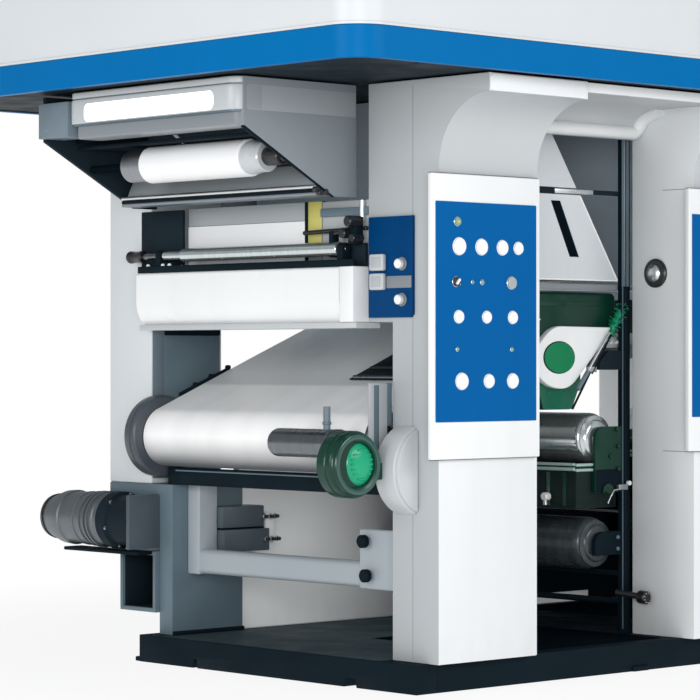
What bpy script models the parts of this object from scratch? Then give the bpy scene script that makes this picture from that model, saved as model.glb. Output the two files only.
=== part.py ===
"""Rotogravure printing press: the end of a press line, with two whole printing bays.

X runs along the machine, Y from the operator side to the drive side, Z up, in metres.
The sizes below are measured from the front left foot of the first operator column, and
the press empty moves the whole machine so that its footprint is centred on the origin.
"""

import math

import bmesh
import bpy
from mathutils import Matrix, Vector

# Clearances
SEAT = 0.0003
END_PLAY = 0.0005
BORE_PLAY = 0.0008

# The row of bays, and the height of the canopy's underside
BAYS = 2
PITCH = 1.37
COLUMN_WIDTH = 0.50
SOFFIT = 2.165

# Plinth
PLINTH_TOP = 0.105
PLINTH_FRONT = 0.05
PLINTH_BACK = 1.60
PLINTH_MARGIN = 0.06
NOTCH_DEPTH = 0.10
NOTCH_HEIGHT = 0.034
NOTCHES = ((0.36, 0.065), (1.25, 0.025))

# Operator columns
END_COLUMN_DEPTH = 0.235
COLUMN_DEPTH = 0.315
BLOCK_DEPTH = 0.36
COVE_RADIUS = 0.25
FASCIA_HEIGHT = 0.065
COVE_START = SOFFIT - FASCIA_HEIGHT - COVE_RADIUS
COVER_THICKNESS = 0.022
COVER_OVERHANG = 0.055
COVER_INSET = 0.008
COVER_BOTTOM = 0.823
COVER_TOP = COVE_START - 0.02
PANEL_THICKNESS = 0.003
PANEL_LEFT = 0.017 - COVER_OVERHANG
PANEL_RIGHT = COLUMN_WIDTH - 0.03
PANEL_BOTTOM = COVER_BOTTOM + 0.133
PANEL_TOP = COVER_TOP - 0.10
BUTTON_HEIGHT = 0.009

# Drive columns
DRIVE_FRONT = 1.60
DRIVE_BACK = 1.862
DRIVE_WIDTH = 0.36
LEG_FRONT = 1.47
LEG_THICKNESS = 0.08
LEG_TOP = 0.69
SHELF_THICKNESS = 0.03
REAR_LEG_WIDTH = 0.10

# Drive side panels
LOW_PANEL_FRONT = 1.49
LOW_PANEL_TOP = 0.86
HIGH_PANEL_BOTTOM = 1.42
HIGH_PANEL_FRONT = 1.62
PANEL_SHEET = 0.04

# Canopy
CANOPY_OVERHANG = 0.70
CANOPY_FRONT = -0.33
CANOPY_BACK = 2.23
CANOPY_RADIUS = 0.13
BAND_HEIGHT = 0.11
BAND_THICKNESS = 0.03
CANOPY_HEIGHT = 0.885

# Header between two operator columns
HEADER_HEIGHT = 0.153
HEADER_FASCIA = 0.225
HEADER_FASCIA_HEIGHT = 0.035
HEADER_FASCIA_DEPTH = 0.02
HEADER_PLATE = 0.023
HEADER_COVE_FRONT = 0.11
HEADER_LIP_FRONT = 0.262
HEADER_LIP_HEIGHT = 0.05

# Hood over the entry end
HOOD_FRONT = -0.575
HOOD_DEPTH = 0.175
HOOD_NEAR = 0.42
HOOD_FAR = 1.58
HOOD_BRIGHT_END = 1.335
HOOD_BOTTOM = SOFFIT - 0.17
CHEEK_THICKNESS = 0.02
CHEEK_INSET = 0.035
CHEEK_LOW_START = -0.11
HOOD_BACK_TOP_X = -0.02
HOOD_BACK_SHEET = 0.012
HOOD_ROLLER_X = -0.32
HOOD_ROLLER_LIFT = 0.025
HOOD_ROLLER_RADIUS = 0.068

# Cross beam with the guide roller and the web plate on it
BEAM_FRONT = -0.075
BEAM_BACK = 0.06
BEAM_BOTTOM = 1.31
BEAM_TOP = BEAM_BOTTOM + 0.20
BEAM_ROUND = 0.07
LEDGE_THICKNESS = 0.022
LEDGE_INSET = 0.02
GUIDE_X = -0.04
GUIDE_Z = BEAM_TOP + 0.065
GUIDE_RADIUS = 0.026
GUIDE_SHAFT = 0.012
GUIDE_NEAR = 0.43
GUIDE_FAR = 1.50
CARRIER_WIDTH = 0.056
CARRIER_HEIGHT = 0.022
EAR_THICKNESS = 0.03
EAR_RADIUS = 0.022
KNOB_RADIUS = 0.024
KNOB_START = 0.095
KNOB_END = 0.185
WEB_PLATE_X = GUIDE_X + 0.070
WEB_PLATE_THICKNESS = 0.008
WEB_PLATE_NEAR = 0.62
WEB_PLATE_FAR = 1.40
CHEEK_LOW = BEAM_TOP + 0.25

# Switch panel on the side of the first column
BLOCK_BOTTOM = BEAM_BOTTOM
SWITCH_THICKNESS = 0.012
SWITCH_NEAR = 0.119
SWITCH_FAR = BLOCK_DEPTH - 0.014
SWITCH_BOTTOM = BLOCK_BOTTOM + 0.015
SWITCH_HEIGHT = 0.36
SWITCH_CHAMFER = 0.012
SWITCH_KNOB_RADIUS = 0.021
SWITCH_KNOB_REACH = 0.042
SWITCH_BLOCK_REACH = 0.05
SWITCH_BLOCK_HEIGHT = 0.05

# Draw roller and web
DRAW_X = 0.0125
DRAW_Z = 0.8775
DRAW_RADIUS = 0.111
DRAW_START = 0.265
DRAW_END = 1.526
DRUM_RADIUS = 0.158
DRUM_END = 1.594
WEB_GAP = 0.002
WEB_THICKNESS = 0.003
WEB_TAIL = 0.16
WEB_BAR_LEFT = 0.006
WEB_BAR_WIDTH = 0.04
WEB_BAR_TOP = 0.728
WEB_BAR_REST = 0.035

# Side lay drive beside the first column
DRIVE_X = -0.238
DRIVE_Z = 0.809
DRIVE_RADIUS = 0.118
DRIVE_NEAR = 0.155
DRIVE_FAR = 0.25
MOTOR_Z = 0.879
MOTOR_RADIUS = 0.052
MOTOR_END = 0.60
BOSS_RADIUS = 0.166
BOSS_X = 0.055
BOSS_Z = 0.783
BOSS_NEAR = 0.10
BOSS_FAR = 0.21

# C frame under the web
RAIL_X = 0.08
RAIL_WIDTH = 0.06
RAIL_BOTTOM = 0.345
RAIL_HEIGHT = 0.095
CFRAME_TOP = 0.745
CFRAME_POST_WIDTH = 0.09
CFRAME_POST_DEPTH = 0.07
PLATE_END = 0.44
PLATE_TOP = 0.56
VALVE_DEPTH = 0.11
VALVE_RIGHT = 0.46
VALVE_BOTTOM = 0.424
VALVE_HEIGHT = 0.177
VALVE_STEP = 0.088
VALVE_GROOVE = 0.007

# Open box and motor on the drive side of the entry end
BOX_LEFT = -0.02
BOX_RIGHT = 0.20
BOX_BACK = 1.77
BOX_BOTTOM = 0.19
BOX_TOP = 0.428
BOX_WALL = 0.016
SIDE_MOTOR_X = -0.05
SIDE_MOTOR_Z = 0.545
SIDE_MOTOR_RADIUS = 0.112
SIDE_MOTOR_FLANGE = 0.155
SIDE_MOTOR_RING = 0.05
SIDE_MOTOR_END = 2.212

# Inside each bay, along X from the column's left side
POST_WIDTH = 0.05
POST_LEFT = PITCH - POST_WIDTH
POST_DEPTH = 0.02
NEAR_POST_Y = COLUMN_DEPTH + 0.01
FAR_POST_Y = 1.40
ROLLER_X = POST_LEFT - 0.105
GRAVURE_Z = 0.870
GRAVURE_RADIUS = 0.098
INK_Z = 0.462
INK_RADIUS = 0.10
JOURNAL = 0.03
EYE_RADIUS = 0.045
PAN_LEFT = ROLLER_X - 0.135
PAN_RIGHT = POST_LEFT - 0.01
PAN_TOP = GRAVURE_Z - 0.095
PAN_BOTTOM = PAN_TOP - 0.175
PAN_WALL = 0.012
CAM_X = POST_LEFT - 0.33
CAM_Z = 1.183
CAM_RADIUS = 0.12
CAM_THICKNESS = 0.03
CAM_TIP_X = POST_LEFT - 0.04
CAM_TIP_Z = CAM_Z + 0.117
LUG_BOTTOM = CAM_TIP_Z - 0.08
LUG_HEIGHT = 0.045
STOP_LEFT = POST_LEFT - 0.125
STOP_BOTTOM = LUG_BOTTOM - 0.085
STOP_HEIGHT = 0.075
CARRIAGE_LEFT = CAM_X - 0.18
CARRIAGE_RIGHT = POST_LEFT + 0.01
CARRIAGE_TOP = CAM_Z + 0.25
CARRIAGE_LOBE = 0.20
CARRIAGE_PLATE = 0.05
CARRIAGE_INSET = 0.002
WEB_END_Z = CARRIAGE_TOP - 0.105
DRYER_LEFT = COLUMN_WIDTH + 0.01
DRYER_RIGHT = POST_LEFT - 0.01
DRYER_TOP_RIGHT = DRYER_RIGHT - 0.459
DRYER_FRONT = COLUMN_DEPTH + 0.02
DRYER_BACK = 1.56
DRYER_BOTTOM = CARRIAGE_TOP + 0.046
DRYER_EDGE = 0.012
SLOT_BOTTOM = DRYER_BOTTOM + 0.09
SLOT_LENGTH = 0.213
SLOT_WIDTH = 0.053
SLOT_DEPTH = 0.04
SLOT_LOW_INSET = 0.158
SLOT_HIGH_INSET = 0.128


def clear_scene():
    for old in list(bpy.data.objects):
        bpy.data.objects.remove(old, do_unlink=True)


def paint(name, color, roughness, metallic=0.0):
    made = bpy.data.materials.new(name)
    made.use_nodes = True
    shader = made.node_tree.nodes["Principled BSDF"]
    shader.inputs["Base Color"].default_value = (*color, 1.0)
    shader.inputs["Roughness"].default_value = roughness
    shader.inputs["Metallic"].default_value = metallic
    made.diffuse_color = (*color, 1.0)
    return made


def add_object(name, bm, material, helper=False):
    """Puts a finished bmesh in the scene, under the press empty."""
    bmesh.ops.recalc_face_normals(bm, faces=bm.faces)
    mesh = bpy.data.meshes.new(name)
    bm.to_mesh(mesh)
    bm.free()
    mesh.materials.append(material)
    made = bpy.data.objects.new(name, mesh)
    bpy.context.scene.collection.objects.link(made)
    made.parent = bpy.data.objects["press"]
    if helper:
        made.hide_render = True
        made.display_type = "WIRE"
        made.hide_viewport = True
    return made


AXES = {
    "X": lambda a, b, along: Vector((along, a, b)),
    "Y": lambda a, b, along: Vector((a, along, b)),
    "Z": lambda a, b, along: Vector((a, b, along)),
}


def prism_mesh(outline, axis, start, end):
    """A flat outline drawn out along one axis."""
    bm = bmesh.new()
    place = AXES[axis]
    corners = [bm.verts.new(place(a, b, start)) for a, b in outline]
    face = bm.faces.new(corners)
    drawn = bmesh.ops.extrude_face_region(bm, geom=[face])
    moved = [item for item in drawn["geom"] if isinstance(item, bmesh.types.BMVert)]
    bmesh.ops.translate(bm, verts=moved, vec=place(0, 0, end - start))
    return bm


def prism(name, outline, axis, start, end, material, helper=False):
    return add_object(name, prism_mesh(outline, axis, start, end), material, helper)


def box(name, low, high, material, helper=False):
    outline = rectangle(low[0], low[1], high[0], high[1])
    return prism(name, outline, "Z", low[2], high[2], material, helper)


def rectangle(left, low, right, high):
    return [(left, low), (right, low), (right, high), (left, high)]


def arc(center, radius, start, end, steps):
    """Points on a circle from one angle to another, in degrees."""
    angles = [math.radians(start + (end - start) * i / steps) for i in range(steps + 1)]
    return [
        (center[0] + radius * math.cos(angle), center[1] + radius * math.sin(angle))
        for angle in angles
    ]


def round_rectangle(left, low, right, high, radius, steps=5):
    points = arc((right - radius, low + radius), radius, -90, 0, steps)
    points += arc((right - radius, high - radius), radius, 0, 90, steps)
    points += arc((left + radius, high - radius), radius, 90, 180, steps)
    points += arc((left + radius, low + radius), radius, 180, 270, steps)
    return points


def lathe(name, profile, location, material, segments=24):
    """Spins a profile of (distance along Y, radius) round the Y axis through the origin."""
    bm = bmesh.new()
    verts = [bm.verts.new((radius, along, 0)) for along, radius in profile]
    edges = [bm.edges.new(pair) for pair in zip(verts, verts[1:])]
    bmesh.ops.spin(
        bm,
        geom=verts + edges,
        cent=(0, 0, 0),
        axis=(0, 1, 0),
        angle=2 * math.pi,
        steps=segments,
        use_merge=True,
    )
    bmesh.ops.remove_doubles(bm, verts=bm.verts, dist=1e-5)
    made = add_object(name, bm, material)
    made.location = location
    smooth(made)
    return made


def smooth(made, degrees=35):
    made.data.shade_smooth()
    made.data.set_sharp_from_angle(angle=math.radians(degrees))


def bevel(made, width=0.006, segments=1, degrees=40):
    modifier = made.modifiers.new("Edges", "BEVEL")
    modifier.width = width
    modifier.segments = segments
    modifier.limit_method = "ANGLE"
    modifier.angle_limit = math.radians(degrees)


def boolean(made, other, operation):
    modifier = made.modifiers.new(other.name, "BOOLEAN")
    modifier.operation = operation
    modifier.object = other
    modifier.solver = "EXACT"


def fuse(made, *others):
    for other in others:
        boolean(made, other, "UNION")


def cut(made, *others):
    for other in others:
        boolean(made, other, "DIFFERENCE")


def column_left(number):
    return number * PITCH


def line_end():
    return BAYS * PITCH + COLUMN_WIDTH


def build_plinth(material):
    """Base frame flat on the floor, with shallow notches under both of its ends."""
    left = -PLINTH_MARGIN
    right = line_end() + PLINTH_MARGIN
    low = (left, PLINTH_FRONT, 0)
    plinth = box("plinth", low, (right, PLINTH_BACK, PLINTH_TOP), material)
    bevel(plinth, 0.004)
    for front, width in NOTCHES:
        for start, end in ((left - 0.05, left + NOTCH_DEPTH), (right - NOTCH_DEPTH, right + 0.05)):
            notch = box(
                f"notch_{round(front * 100)}_{round(end * 100)}",
                (start, front, -0.05),
                (end, front + width, NOTCH_HEIGHT),
                material,
                helper=True,
            )
            cut(plinth, notch)
    return plinth


def column_profile(depth, block_depth):
    """Side view of an operator column: flat front, cove at the top, fascia."""
    cove = arc((-COVE_RADIUS, COVE_START), COVE_RADIUS, 0, 90, 7)
    points = [(0, PLINTH_TOP + SEAT)] + cove
    points.append((-COVE_RADIUS, SOFFIT - SEAT))
    points.append((block_depth, SOFFIT - SEAT))
    if block_depth != depth:
        points.append((block_depth, BLOCK_BOTTOM))
        points.append((depth, BLOCK_BOTTOM))
    points.append((depth, PLINTH_TOP + SEAT))
    return points


def build_front_column(number, material):
    depth, block = COLUMN_DEPTH, COLUMN_DEPTH
    if number == 0:
        depth, block = END_COLUMN_DEPTH, BLOCK_DEPTH
    outline = column_profile(depth, block)
    name = f"front_column_{number + 1}"
    column = prism(name, outline, "X", 0, COLUMN_WIDTH, material)
    column.location.x = column_left(number)
    bevel(column, 0.004)
    return column


def build_column_cover(number, material):
    """Raised cover that carries the buttons. It overhangs the column on its left."""
    low = (-COVER_OVERHANG, -COVER_THICKNESS, COVER_BOTTOM)
    high = (COLUMN_WIDTH - COVER_INSET, -SEAT, COVER_TOP)
    cover = box(f"column_cover_{number + 1}", low, high, material)
    cover.location.x = column_left(number)
    bevel(cover, 0.005, 2)
    return cover


# Each row's height as a share of the panel's, then each button's place from the left edge and radius
BUTTON_ROWS = (
    (0.910, ((0.104, 0.016),)),
    (0.798, ((0.113, 0.030), (0.224, 0.028), (0.330, 0.026), (0.412, 0.022))),
    (0.637, ((0.098, 0.015), (0.228, 0.007), (0.377, 0.022))),
    (0.478, ((0.111, 0.022), (0.251, 0.021), (0.383, 0.022))),
    (0.185, ((0.126, 0.029), (0.262, 0.024), (0.383, 0.026))),
)


def build_button_panel(number, material):
    """Control panel with its round push buttons standing proud of it."""
    back = -COVER_THICKNESS - SEAT
    front = back - PANEL_THICKNESS
    low = (PANEL_LEFT, front, PANEL_BOTTOM)
    high = (PANEL_RIGHT, back, PANEL_TOP)
    panel = box(f"button_panel_{number + 1}", low, high, material)
    bm = bmesh.new()
    turn = Matrix.Rotation(math.radians(90), 4, "X")
    middle = front - BUTTON_HEIGHT / 2 + 0.001
    for share, buttons in BUTTON_ROWS:
        height = PANEL_BOTTOM + share * (PANEL_TOP - PANEL_BOTTOM)
        for across, radius in buttons:
            place = Matrix.Translation((PANEL_LEFT + across, middle, height))
            bmesh.ops.create_cone(
                bm,
                cap_ends=True,
                segments=12,
                radius1=radius,
                radius2=radius,
                depth=BUTTON_HEIGHT,
                matrix=place @ turn,
            )
    buttons = add_object(f"buttons_{number + 1}", bm, material, helper=True)
    fuse(panel, buttons)
    panel.location.x = column_left(number)
    buttons.location.x = column_left(number)
    return panel


def build_header(number, material):
    """Lintel between two operator columns: fascia strip, top plate, cove and lip behind it."""
    bottom = SOFFIT - HEADER_HEIGHT
    lip_top = bottom + HEADER_LIP_HEIGHT
    under_plate = SOFFIT - HEADER_PLATE
    under_fascia = SOFFIT - HEADER_FASCIA_HEIGHT
    cove_width = HEADER_LIP_FRONT - HEADER_COVE_FRONT
    cove_height = under_plate - lip_top
    chamfer = 0.012
    outline = [
        (COLUMN_DEPTH, bottom),
        (HEADER_LIP_FRONT + chamfer, bottom),
        (HEADER_LIP_FRONT, bottom + chamfer),
    ]
    for across, up in arc((0, 0), 1, 0, 90, 6):
        outline.append((HEADER_COVE_FRONT + across * cove_width, lip_top + up * cove_height))
    outline += [
        (HEADER_FASCIA_DEPTH - HEADER_FASCIA, under_plate),
        (HEADER_FASCIA_DEPTH - HEADER_FASCIA, under_fascia),
        (-HEADER_FASCIA, under_fascia),
        (-HEADER_FASCIA, SOFFIT - SEAT),
        (COLUMN_DEPTH, SOFFIT - SEAT),
    ]
    left = column_left(number) + COLUMN_WIDTH + SEAT
    right = column_left(number + 1) - SEAT
    return prism(f"header_{number + 1}", outline, "X", left, right, material)


def drive_left(number):
    """Drive columns stand at the left of a frame, and the last at the right end of the row."""
    last = number == BAYS
    return column_left(number) + (COLUMN_WIDTH - DRIVE_WIDTH if last else 0)


def build_drive_leg(number, material):
    """Leg under a drive column: front plate on the plinth, shelf, and rear leg on the floor."""
    back = LEG_FRONT + LEG_THICKNESS
    shelf = LEG_TOP - SHELF_THICKNESS
    plate = [
        (LEG_FRONT, PLINTH_TOP + SEAT),
        (back, PLINTH_TOP + SEAT),
        (back, shelf),
        (DRIVE_BACK, shelf),
        (DRIVE_BACK, LEG_TOP),
        (LEG_FRONT, LEG_TOP),
    ]
    leg = prism(f"drive_leg_{number + 1}", plate, "X", 0, DRIVE_WIDTH, material)
    rear = box(
        f"rear_leg_{number + 1}",
        (DRIVE_WIDTH - REAR_LEG_WIDTH, PLINTH_BACK + SEAT + 0.005, 0),
        (DRIVE_WIDTH, DRIVE_BACK, LEG_TOP),
        material,
        helper=True,
    )
    fuse(leg, rear)
    bevel(leg, 0.004)
    leg.location.x = drive_left(number)
    rear.location.x = drive_left(number)
    return leg


def build_drive_column(number, material):
    low = (0, DRIVE_FRONT, LEG_TOP + SEAT)
    high = (DRIVE_WIDTH, DRIVE_BACK, SOFFIT - SEAT)
    column = box(f"drive_column_{number + 1}", low, high, material)
    column.location.x = drive_left(number)
    bevel(column, 0.006)
    return column


def build_drive_panels(number, light, dark):
    left = drive_left(number) + DRIVE_WIDTH + SEAT
    right = drive_left(number + 1) - SEAT
    low = box(
        f"low_drive_panel_{number + 1}",
        (left, LOW_PANEL_FRONT, PLINTH_TOP + SEAT),
        (right, LOW_PANEL_FRONT + PANEL_SHEET, LOW_PANEL_TOP),
        light,
    )
    high = box(
        f"high_drive_panel_{number + 1}",
        (left, HIGH_PANEL_FRONT, HIGH_PANEL_BOTTOM),
        (right, HIGH_PANEL_FRONT + PANEL_SHEET, SOFFIT - SEAT),
        dark,
    )
    for sheet in (low, high):
        bevel(sheet, 0.004)


def canopy_outline(inset):
    """Plan of the canopy, rounded at its corners, moved in by the inset."""
    left = -CANOPY_OVERHANG + inset
    right = line_end() + CANOPY_OVERHANG - inset
    low = CANOPY_FRONT + inset
    high = CANOPY_BACK - inset
    return round_rectangle(left, low, right, high, CANOPY_RADIUS - inset, 6)


def build_canopy(white, blue, dark):
    top = SOFFIT + BAND_HEIGHT
    inset = BAND_THICKNESS + SEAT
    prism("canopy_soffit", canopy_outline(inset), "Z", SOFFIT, top - SEAT, dark)
    band = prism("canopy_band", canopy_outline(0), "Z", SOFFIT, top, blue)
    outline = canopy_outline(BAND_THICKNESS)
    hole = prism("band_hole", outline, "Z", SOFFIT - 0.05, top + 0.05, blue, helper=True)
    cut(band, hole)
    smooth(band)
    outline = canopy_outline(0.003)
    housing = prism("canopy_housing", outline, "Z", top + SEAT, SOFFIT + CANOPY_HEIGHT, white)
    bevel(housing, 0.02, 2, 60)
    smooth(housing)


def build_hood(light, dark):
    """Open hood over the entry roller, hung from the soffit."""
    top = SOFFIT - SEAT
    fascia = round_rectangle(
        HOOD_FRONT, HOOD_NEAR, HOOD_FRONT + HOOD_DEPTH, HOOD_BRIGHT_END, 0.04, 4
    )
    shell = prism("hood_shell", fascia, "Z", HOOD_BOTTOM, top, light)
    near = cheek_outline()
    inner = HOOD_NEAR + CHEEK_THICKNESS
    cheek = prism("near_cheek", near, "Y", HOOD_NEAR, inner, light, helper=True)
    fuse(shell, cheek)
    far_start = HOOD_FAR - CHEEK_THICKNESS
    far = prism("hood_far_cheek", near, "Y", far_start, HOOD_FAR, dark)
    block = box(
        "hood_end_block",
        (HOOD_FRONT + 0.01, HOOD_BRIGHT_END + SEAT, HOOD_BOTTOM + 0.01),
        (HOOD_FRONT + 0.12, HOOD_FAR - 0.004, SOFFIT - 0.028),
        dark,
        helper=True,
    )
    fuse(far, block)
    lip_bottom = CHEEK_LOW - 0.003
    lip_top = CHEEK_LOW + 0.025
    lip = [
        (CHEEK_LOW_START - 0.06, lip_bottom),
        (CHEEK_LOW_START + 0.01, lip_bottom),
        (HOOD_BACK_TOP_X + HOOD_BACK_SHEET, top),
        (HOOD_BACK_TOP_X, top),
        (CHEEK_LOW_START, lip_top),
        (CHEEK_LOW_START - 0.06, lip_top),
    ]
    prism("hood_back", lip, "Y", inner + SEAT, far_start - SEAT, light)


def cheek_outline():
    """Side view of the hood's cheeks, with their slanted lower edge."""
    back = HOOD_BACK_TOP_X + 0.018
    return [
        (HOOD_FRONT + CHEEK_INSET, HOOD_BOTTOM),
        (CHEEK_LOW_START, CHEEK_LOW),
        (back, CHEEK_LOW),
        (back, SOFFIT - SEAT),
        (HOOD_FRONT + CHEEK_INSET, SOFFIT - SEAT),
    ]


def hood_roller_height():
    """The roller's axis lies a little above the cheeks' slanted lower edge."""
    start = HOOD_FRONT + CHEEK_INSET
    share = (HOOD_ROLLER_X - start) / (CHEEK_LOW_START - start)
    return HOOD_BOTTOM + share * (CHEEK_LOW - HOOD_BOTTOM) + HOOD_ROLLER_LIFT


def build_hood_roller(material):
    near = HOOD_NEAR + CHEEK_THICKNESS + END_PLAY
    far = HOOD_FAR - CHEEK_THICKNESS - END_PLAY
    profile = [
        (near, 0),
        (near, 0.022),
        (near + 0.02, 0.022),
        (near + 0.02, 0.034),
        (near + 0.10, 0.034),
        (near + 0.10, 0.056),
        (near + 0.185, 0.056),
        (near + 0.185, HOOD_ROLLER_RADIUS - 0.003),
        (near + 0.190, HOOD_ROLLER_RADIUS),
        (far - 0.305, HOOD_ROLLER_RADIUS),
        (far - 0.300, HOOD_ROLLER_RADIUS - 0.003),
        (far - 0.300, 0.060),
        (far - 0.175, 0.060),
        (far - 0.175, 0.020),
        (far, 0.020),
        (far, 0),
    ]
    location = (HOOD_ROLLER_X, 0, hood_roller_height())
    return lathe("hood_roller", profile, location, material)


def build_end_beam(material):
    """White cross beam with a rounded lower edge and a thin ledge under it."""
    curve = arc(
        (BEAM_FRONT + BEAM_ROUND, BEAM_BOTTOM + BEAM_ROUND), BEAM_ROUND, 180, 270, 6
    )
    outline = [(BEAM_BACK, BEAM_TOP), (BEAM_FRONT + 0.01, BEAM_TOP)]
    outline += [(BEAM_FRONT, BEAM_TOP - 0.01)] + curve
    outline += [
        (BEAM_FRONT + BEAM_ROUND, BEAM_BOTTOM - 0.001),
        (BEAM_FRONT + LEDGE_INSET, BEAM_BOTTOM - 0.001),
        (BEAM_FRONT + LEDGE_INSET, BEAM_BOTTOM - LEDGE_THICKNESS),
        (BEAM_BACK, BEAM_BOTTOM - LEDGE_THICKNESS),
    ]
    return prism("end_beam", outline, "Y", BLOCK_DEPTH + SEAT, DRIVE_FRONT - SEAT, material)


def build_guide(black, chrome, white):
    """Guide roller over the cross beam, its carrier, and the flat web plate behind it."""
    base_top = BEAM_TOP + CARRIER_HEIGHT
    carrier = box(
        "guide_carrier",
        (GUIDE_X - CARRIER_WIDTH / 2, GUIDE_NEAR, BEAM_TOP + SEAT),
        (GUIDE_X + CARRIER_WIDTH / 2, GUIDE_FAR, base_top),
        black,
    )
    outline = [(GUIDE_X - EAR_RADIUS, base_top - 0.005), (GUIDE_X + EAR_RADIUS, base_top - 0.005)]
    outline += arc((GUIDE_X, GUIDE_Z), EAR_RADIUS, 0, 180, 8)
    for side, start in (("near", GUIDE_NEAR), ("far", GUIDE_FAR - EAR_THICKNESS)):
        ear = prism(f"{side}_ear", outline, "Y", start, start + EAR_THICKNESS, black, helper=True)
        fuse(carrier, ear)
    shaft_hole = GUIDE_SHAFT + BORE_PLAY
    center = (GUIDE_X, 0, GUIDE_Z)
    bore = cylinder("guide_bore", center, shaft_hole, GUIDE_NEAR - 0.1, GUIDE_FAR + 0.1, black, 16)
    cut(carrier, bore)
    body_start = GUIDE_NEAR + EAR_THICKNESS + 0.006
    body_end = GUIDE_FAR - EAR_THICKNESS - 0.006
    profile = [
        (GUIDE_NEAR - 0.004, 0),
        (GUIDE_NEAR - 0.004, GUIDE_SHAFT),
        (body_start, GUIDE_SHAFT),
        (body_start, GUIDE_RADIUS),
        (body_end, GUIDE_RADIUS),
        (body_end, GUIDE_SHAFT),
        (GUIDE_FAR + KNOB_START, GUIDE_SHAFT),
        (GUIDE_FAR + KNOB_START, KNOB_RADIUS - 0.004),
        (GUIDE_FAR + KNOB_START + 0.01, KNOB_RADIUS),
        (GUIDE_FAR + KNOB_END - 0.01, KNOB_RADIUS),
        (GUIDE_FAR + KNOB_END, KNOB_RADIUS - 0.004),
        (GUIDE_FAR + KNOB_END, 0),
    ]
    lathe("guide_roller", profile, center, chrome, 20)
    return box(
        "web_plate",
        (WEB_PLATE_X - WEB_PLATE_THICKNESS, WEB_PLATE_NEAR, BEAM_TOP + SEAT),
        (WEB_PLATE_X, WEB_PLATE_FAR, CHEEK_LOW - 0.004),
        white,
    )


def cylinder(name, center, radius, start, end, material, segments=24):
    """A helper rod along Y."""
    outline = arc((center[0], center[2]), radius, 0, 360, segments)[:-1]
    return prism(name, outline, "Y", start, end, material, helper=True)


def build_switch_panel(material):
    """Small switch panel on the side of the first column."""
    top = SWITCH_BOTTOM + SWITCH_HEIGHT
    outline = [
        (SWITCH_NEAR, SWITCH_BOTTOM + SWITCH_CHAMFER),
        (SWITCH_NEAR, top),
        (SWITCH_FAR, top),
        (SWITCH_FAR, SWITCH_BOTTOM),
        (SWITCH_NEAR + SWITCH_CHAMFER, SWITCH_BOTTOM),
    ]
    panel = prism("switch_panel", outline, "X", -SWITCH_THICKNESS, -SEAT, material)
    inside = 0.001 - SWITCH_THICKNESS
    for name, down in (("upper", 0.170), ("lower", 0.297)):
        outline = arc((SWITCH_NEAR + 0.086, top - down), SWITCH_KNOB_RADIUS, 0, 360, 14)[:-1]
        knob = prism(
            f"{name}_knob", outline, "X", -SWITCH_KNOB_REACH, inside, material, helper=True
        )
        fuse(panel, knob)
    for name, down in (("upper", 0.150), ("lower", 0.210)):
        block = box(
            f"{name}_block",
            (-SWITCH_BLOCK_REACH, SWITCH_FAR - 0.061, top - down - SWITCH_BLOCK_HEIGHT / 2),
            (inside, SWITCH_FAR - 0.004, top - down + SWITCH_BLOCK_HEIGHT / 2),
            material,
            helper=True,
        )
        fuse(panel, block)
    return panel


def build_draw_roller(material):
    near = END_COLUMN_DEPTH + END_PLAY
    far = DRIVE_FRONT - END_PLAY
    profile = [
        (near, 0),
        (near, JOURNAL),
        (DRAW_START, JOURNAL),
        (DRAW_START, DRAW_RADIUS - 0.004),
        (DRAW_START + 0.004, DRAW_RADIUS),
        (DRAW_END, DRAW_RADIUS),
        (DRAW_END, DRUM_RADIUS - 0.008),
        (DRAW_END + 0.008, DRUM_RADIUS),
        (DRUM_END - 0.012, DRUM_RADIUS),
        (DRUM_END, DRUM_RADIUS - 0.012),
        (DRUM_END, JOURNAL),
        (far, JOURNAL),
        (far, 0),
    ]
    return lathe("draw_roller", profile, (DRAW_X, 0, DRAW_Z), material, 32)


def web_slope():
    """Angle of the web's straight run, from the draw roller to the first bay's carriage."""
    across = CARRIAGE_LEFT - SEAT - DRAW_X
    up = WEB_END_Z - DRAW_Z
    middle = DRAW_RADIUS + WEB_GAP + WEB_THICKNESS / 2
    return math.atan2(up, across) - math.asin(middle / math.hypot(across, up))


def build_web(material):
    """The printed web: down a slope, round the draw roller, and back into the press."""
    inner = DRAW_RADIUS + WEB_GAP
    outer = inner + WEB_THICKNESS
    slope = web_slope()
    top = 90 + math.degrees(slope)
    run = CARRIAGE_LEFT - SEAT - DRAW_X
    rise = run * math.tan(slope)
    lift = 1 / math.cos(slope)
    outside = arc((DRAW_X, DRAW_Z), outer, top, 270, 16)
    inside = arc((DRAW_X, DRAW_Z), inner, 270, top, 16)
    outline = [(DRAW_X + run, DRAW_Z + rise + outer * lift)] + outside
    outline += [(DRAW_X + WEB_TAIL, DRAW_Z - outer), (DRAW_X + WEB_TAIL, DRAW_Z - inner)]
    outline += inside + [(DRAW_X + run, DRAW_Z + rise + inner * lift)]
    web = prism("web", outline, "Y", DRAW_START + 0.01, DRAW_END - 0.006, material)
    smooth(web)
    return web


def build_web_bar(material):
    """Bar under the draw roller, from the first column to the top of the drive leg."""
    return box(
        "web_bar",
        (WEB_BAR_LEFT, END_COLUMN_DEPTH + SEAT, LEG_TOP + SEAT),
        (WEB_BAR_LEFT + WEB_BAR_WIDTH, LEG_FRONT + WEB_BAR_REST, WEB_BAR_TOP),
        material,
    )


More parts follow.
